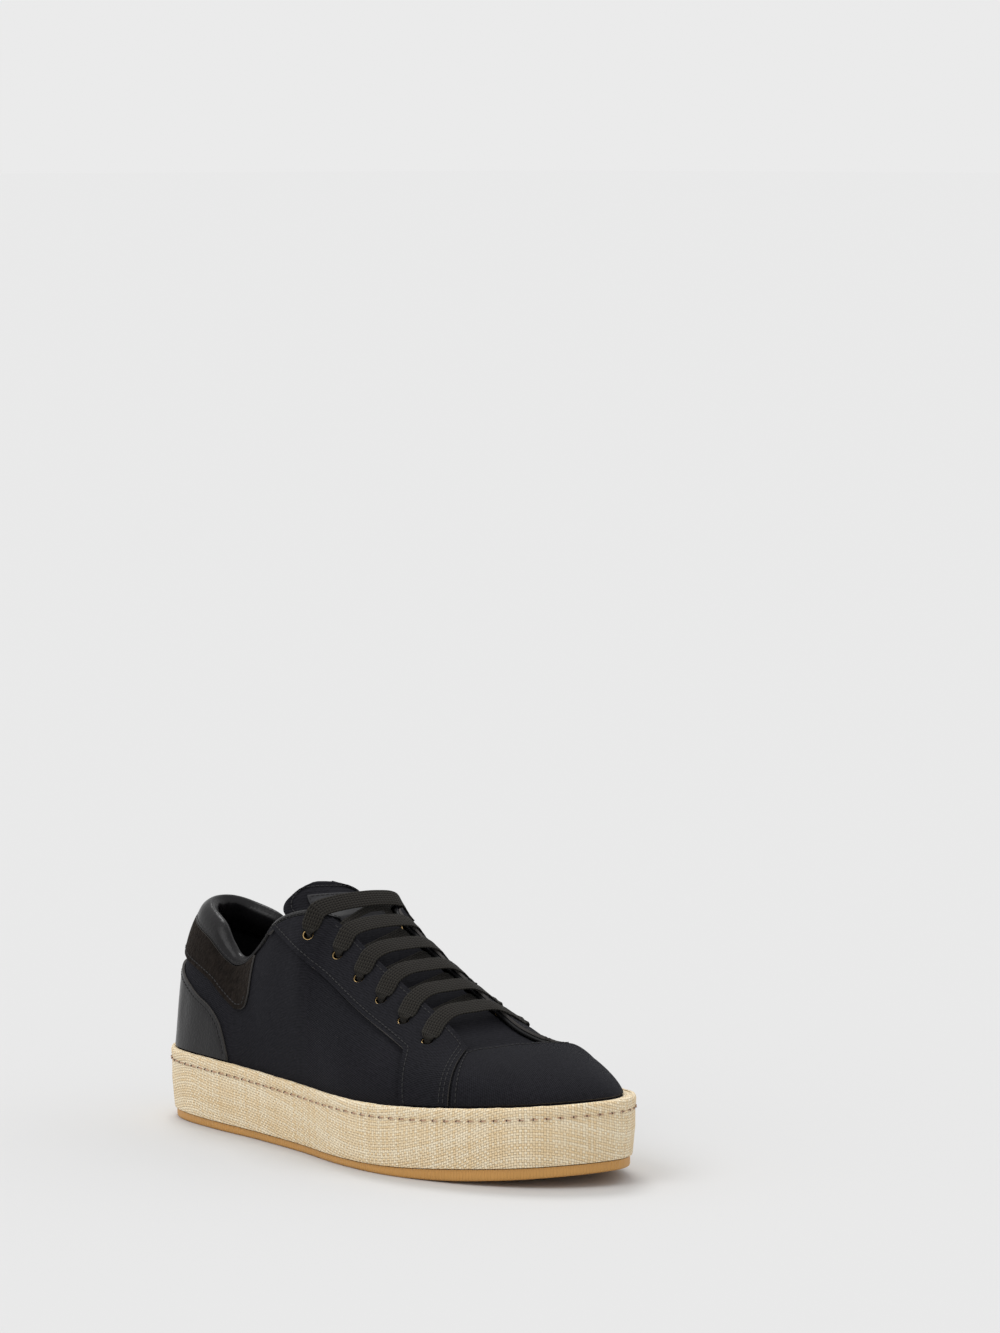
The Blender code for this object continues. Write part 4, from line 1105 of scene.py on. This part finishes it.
# a bar from the hole to the middle: millimetres in from the hole, lift, width and thickness
barRows = [
    (0.0, -0.0016, lace["pinch"], lace["bunch"]), (0.45, 0.0006, lace["pinch"] + 0.0002, lace["bunch"]),
    (1.5, lace["over"] + 0.0003, 0.0060, 0.0014), (3.8, lace["over"], 0.0086, lace["thick"]),
    (7.0, lace["over"], lace["width"], lace["thick"]),
    (13.0, lace["over"] + 0.0001, lace["width"], lace["thick"]),
]


def makeLace():
    shares = eyeletShares()
    knots = []

    def line(share):
        ends = eyeletDrop(share) + lace["ends"]
        base = across(share, ends, 0.0, 61)
        up = unit(across(share, ends, 0.001, 61) - base)
        run = runAlong(base)[-1]
        return base, up, 1 - 2 * lace["ends"] / run, run

    def at(share, w, lift, wide, width, thick):
        base, up, _, _ = line(share)
        spread = np.linspace(-1, 1, len(base))
        point = pick(w, spread, base) + unit(pick(w, spread, up)) * lift
        knots.append(np.concatenate([point, wide, [width, thick]]))

    for i, share in enumerate(shares):
        base, up, hole, run = line(share)
        mm = 0.002 / run                   # one millimetre along the section
        wide = unit(np.cross(up[30], base[-1] - base[0]))
        wide = wide if wide[0] > 0 else -wide
        if i == 0:
            for more, lift, width in lace["tail"]:
                at(share, more * mm - hole, lift, wide, width, lace["tailThick"])
        bars = [(hole - more * mm, *rest) for more, *rest in barRows]
        bars.append((0.32, lace["over"] + lace["arch"] * 0.8, lace["width"], lace["thick"]))
        crest = (0.0, lace["over"] + lace["arch"], lace["width"], lace["thick"])
        for w, *rest in [(-w, *rest) for w, *rest in bars] + [crest] + bars[::-1]:
            at(share, w, rest[0], wide, *rest[1:])
        if i + 1 == len(shares):
            for more, lift, width in lace["tail"][::-1]:
                at(share, hole - more * mm, lift, wide, width, lace["tailThick"])
            break
        pitch = shares[i + 1] - share
        for w, width in lace["crossing"] + [(-w, width) for w, width in lace["crossing"][::-1]]:
            at(share + 0.5 * (1 - w) * pitch, w * hole, lace["under"], wide, width * 0.97, lace["crossThick"])
    knots = np.array(knots)
    run = runAlong(knots[:, :3])
    fine = hermite(np.column_stack([run, knots]), np.arange(0, run[-1], lace["step"]))
    flow = unit(np.gradient(fine[:, :3], axis=0))
    wide = unit(fine[:, 3:6] - flow * (fine[:, 3:6] * flow).sum(axis=1, keepdims=True))
    deep = np.cross(wide, flow)
    angle = np.linspace(0, 2 * math.pi, lace["sides"] + 1)
    a = np.sign(np.cos(angle)) * np.abs(np.cos(angle))**0.45
    b = np.sign(np.sin(angle)) * np.abs(np.sin(angle))**0.80
    points = (fine[:, None, :3] + wide[:, None] * (a[None, :, None] * fine[:, None, 6:7] * 0.5)
              + deep[:, None] * (b[None, :, None] * fine[:, None, 7:8] * 0.5))
    u = runAlong(fine[:, :3])
    uv = np.stack(np.broadcast_arrays(u[:, None], (a + 1) / 2), -1)
    gridPiece("laceBraid", "lace", ["lace"], points, uv, join=1e-6, shell=True)
    print("lace length", round(float(u[-1]), 3))


makeLace()

# the wrapped wall, the gum tread and the insole
sole = {
    "columns": 560, "flare": 0.0014, "gumInset": 0.0012, "seam": 0.0056, "fold": 0.00035, "ragged": 0.00022,
    "pitch": 0.0062, "stitch": (0.0038, 0.00055, 0.0009), "needle": (0.0009, 0.0010, 0.0010),
    "spine": [(0.045, -0.0012), (0.15, -0.004), (0.25, -0.004)],        # the middle line that plates close on
}
closing = (0.08, 0.2, 0.35, 0.5, 0.65, 0.8, 0.92, 1.0)        # rings of a plate on the way to its middle line
soleTurns = np.linspace(0, 2, sole["columns"] + 1)
soleX = outline(soleTurns)[:, 0]
soleRun = runAlong(outline(soleTurns))
lap = 2 * math.pi * soleRun / soleRun[-1]
ragged = np.sin(lap * 68) * 0.4 + np.sin(lap * 159 + 1.0) * 0.35 + np.sin(lap * 29 + 2.0) * 0.5
ragged = ragged * sole["ragged"]
tread, gum, rim, bed = (soleLevel(soleX, column) for column in range(4))


def soleGrid(rings):
    # rings are (inset, height) arrays round the sole
    return np.array([np.column_stack([outline(soleTurns, np.broadcast_to(inset, soleTurns.shape)),
                                      np.broadcast_to(height, soleTurns.shape)]) for inset, height in rings])


def inwards(inset, height):
    # rings drawn in to the middle line, to close a plate
    xy = outline(soleTurns, inset)
    x = 0.5 * (xy[:, 0] + xy[::-1, 0])
    spine = np.column_stack([np.clip(x, sole["spine"][0][0], sole["spine"][-1][0]),
                             np.interp(x, *np.transpose(sole["spine"]))])
    places = [xy * (1 - share) + spine * share for share in closing]
    return np.array([np.column_stack([place, height(place[:, 0])]) for place in places])


def plate(name, node, look, foot, wall, top):
    # a closed plate: its underside from the middle outwards, its wall, and its top back to the middle
    grid = np.concatenate([inwards(*foot)[::-1], soleGrid(wall), inwards(*top)]).transpose(1, 0, 2)
    down = runAlong(grid, axis=1)
    uv = np.stack([np.broadcast_to(soleRun[:, None], down.shape), down], axis=-1)
    made = gridPiece(name, node, [look], grid, uv, join=2e-5, shell=True)
    made.data.set_sharp_from_angle(angle=math.radians(50))


def level(column, lift=0.0):
    return lambda x: soleLevel(x, column) + lift


def makeSole():
    inner = ledge(soleTurns) - last["gap"]
    flare = sole["flare"]
    wall = [(flare + 0.0009, gum), (flare + 0.0002, gum + 0.0003), (flare, gum + 0.0010)]
    for share in np.linspace(0.08, 0.94, 22):
        height = gum + 0.0010 + (rim - gum - 0.0030) * share
        lean = flare + (0.0002 - flare) * min(1.0, share * 2)
        above = np.clip((height - (rim - sole["seam"] - 0.0004)) / 0.0008, 0, 1)
        pinch = np.exp(-((height - (rim - sole["seam"])) / 0.0010)**2) * 0.00035
        wall.append((lean - above * sole["fold"] + pinch, height))
    wall += [(-sole["fold"] * 0.6, rim - 0.0016 + ragged * 0.3), (0.0000, rim - 0.0007 + ragged * 0.8),
             (0.0005, rim - 0.0001 + ragged), (0.0011, rim + 0.0002 + ragged),
             (0.0019, rim + 0.0001 + ragged * 0.5), (0.0021, rim - 0.0004),
             (0.5 * inner + 0.0010, rim - 0.0005),
             (inner, rim - 0.0006), (inner, rim - 0.003), (inner, bed)]
    plate("soleWall", "midsole", "raffia", (flare + 0.0009, level(1)), wall, (inner, level(3)))
    edge = flare + sole["gumInset"]
    wall = [(edge + 0.0016, tread), (edge + 0.0009, tread + 0.0001), (edge + 0.0003, tread + 0.0005),
            (edge, tread + 0.0012), (edge, 0.5 * (tread + gum)), (edge, gum - last["gap"])]
    plate("gumTread", "outsole", "gum", (edge + 0.0016, level(0)), wall,
          (edge, level(1, -last["gap"])))
    rest = ledge(soleTurns) + last["wall"] + 0.0009
    low, high = bed + last["gap"], bed + last["gap"] + last["insoleThick"]
    wall = [(rest, low), (rest, high - 0.0008), (rest + 0.0002, high - 0.0003), (rest + 0.0008, high)]
    plate("insoleSock", "insole", "footbed", (rest, level(3, last["gap"])), wall,
          (rest + 0.0008, level(3, last["gap"] + last["insoleThick"])))


makeSole()

outward = unit(outline(soleTurns) - outline(soleTurns, 0.001))
soleSeam = {
    "points": np.column_stack([outline(soleTurns, np.full(soleTurns.shape, -0.0001)), rim - sole["seam"]]),
    "normals": np.column_stack([outward, np.zeros(len(soleTurns))]),
}
sewn("soleStitches", [soleSeam], sole["pitch"], sole["stitch"], "threadPale")
# dark dots of painted shade, standing in for the needle holes halfway between the stitches
halfway = int(round(0.5 * sole["pitch"] / (soleRun[-1] / len(soleRun))))
between = {key: np.roll(part[:-1], -halfway, axis=0) for key, part in soleSeam.items()}
sewn("needleHoleShades", [between], sole["pitch"], sole["needle"], "needleHoleShade")

sewn("eyestayThread", cloth["eyestay"][-1] + cloth["eyestay"][1], stitch["pitch"], stitch["size"], "thread")
sewn("panelThread", cloth["cap"] + cloth["counter"] + cloth["heelPatch"] + cloth["quarter"],
     stitch["pitch"], stitch["size"], "thread")
sewn("collarThread", cloth["band"], 0.0024, stitch["size"], "thread")
sewn("tongueThread", [tongueRim, patchSeam], 0.0026, stitch["size"], "thread")

# floor, light and camera
studio = {
    "white": (0.83, 0.83, 0.83), "floor": (0.63, 0.63, 0.63),
    "azimuth": 47.0, "elevation": 9.8, "distance": 2.6, "focal": 5387.0, "frame": (1000, 1333),
    "spot": (389.6, 1064.0), "target": (0.0, 0.0, 0.040),        # the target shows at this pixel of the frame
    # back from the shoe to the camera, to the right, up, strength and spread in degrees
    "lamps": {"key": (0.50, -0.80, 1.15, 0.75, 35), "rear": (-0.75, -0.10, 1.5, 1.00, 22)},
}


def makeStudio():
    work = bmesh.new()
    bmesh.ops.create_grid(work, x_segments=1, y_segments=1, size=60.0)
    floor = placed("floor", meshOf("floor", work))
    floor.data.materials.append(Look("floorPale", studio["floor"], 0.9, {"Specular IOR Level": 0.0}).material)

    world = bpy.data.worlds.new("studio")
    bpy.context.scene.world = world
    world.use_nodes = True
    world.node_tree.nodes["Background"].inputs["Color"].default_value = (*studio["white"], 1)
    world.node_tree.nodes["Background"].inputs["Strength"].default_value = 1.0

    a = math.radians(studio["azimuth"])
    back = Vector((math.sin(a), -math.cos(a), 0))
    right = Vector((math.cos(a), math.sin(a), 0))
    for name, (toBack, toRight, up, power, spread) in studio["lamps"].items():
        light = bpy.data.lights.new(name, "SUN")
        light.angle = math.radians(spread)
        light.energy = power
        lamp = placed(name, light)
        lamp.location = back * toBack + right * toRight + Vector((0, 0, up))
        lamp.rotation_mode = "QUATERNION"
        lamp.rotation_quaternion = lamp.location.to_track_quat("Z", "Y")

    e = math.radians(studio["elevation"])
    toCamera = Vector((math.sin(a) * math.cos(e), -math.cos(a) * math.cos(e), math.sin(e)))
    upward = toCamera.cross(right).normalized()
    wide, tall = studio["frame"]
    aside = (wide / 2 - studio["spot"][0]) / studio["focal"]
    above = (studio["spot"][1] - tall / 2) / studio["focal"]
    ahead = (-toCamera + right * aside + upward * above).normalized()
    data = bpy.data.cameras.new("camera")
    data.sensor_width = 36.0
    data.lens = studio["focal"] / tall * data.sensor_width
    camera = placed("camera", data)
    camera.location = Vector(studio["target"]) + toCamera * studio["distance"]
    camera.rotation_mode = "QUATERNION"
    camera.rotation_quaternion = (-ahead).to_track_quat("Z", "Y")
    bpy.context.scene.camera = camera
    bpy.context.scene.view_settings.view_transform = "Standard"


makeStudio()
print("studio ready")
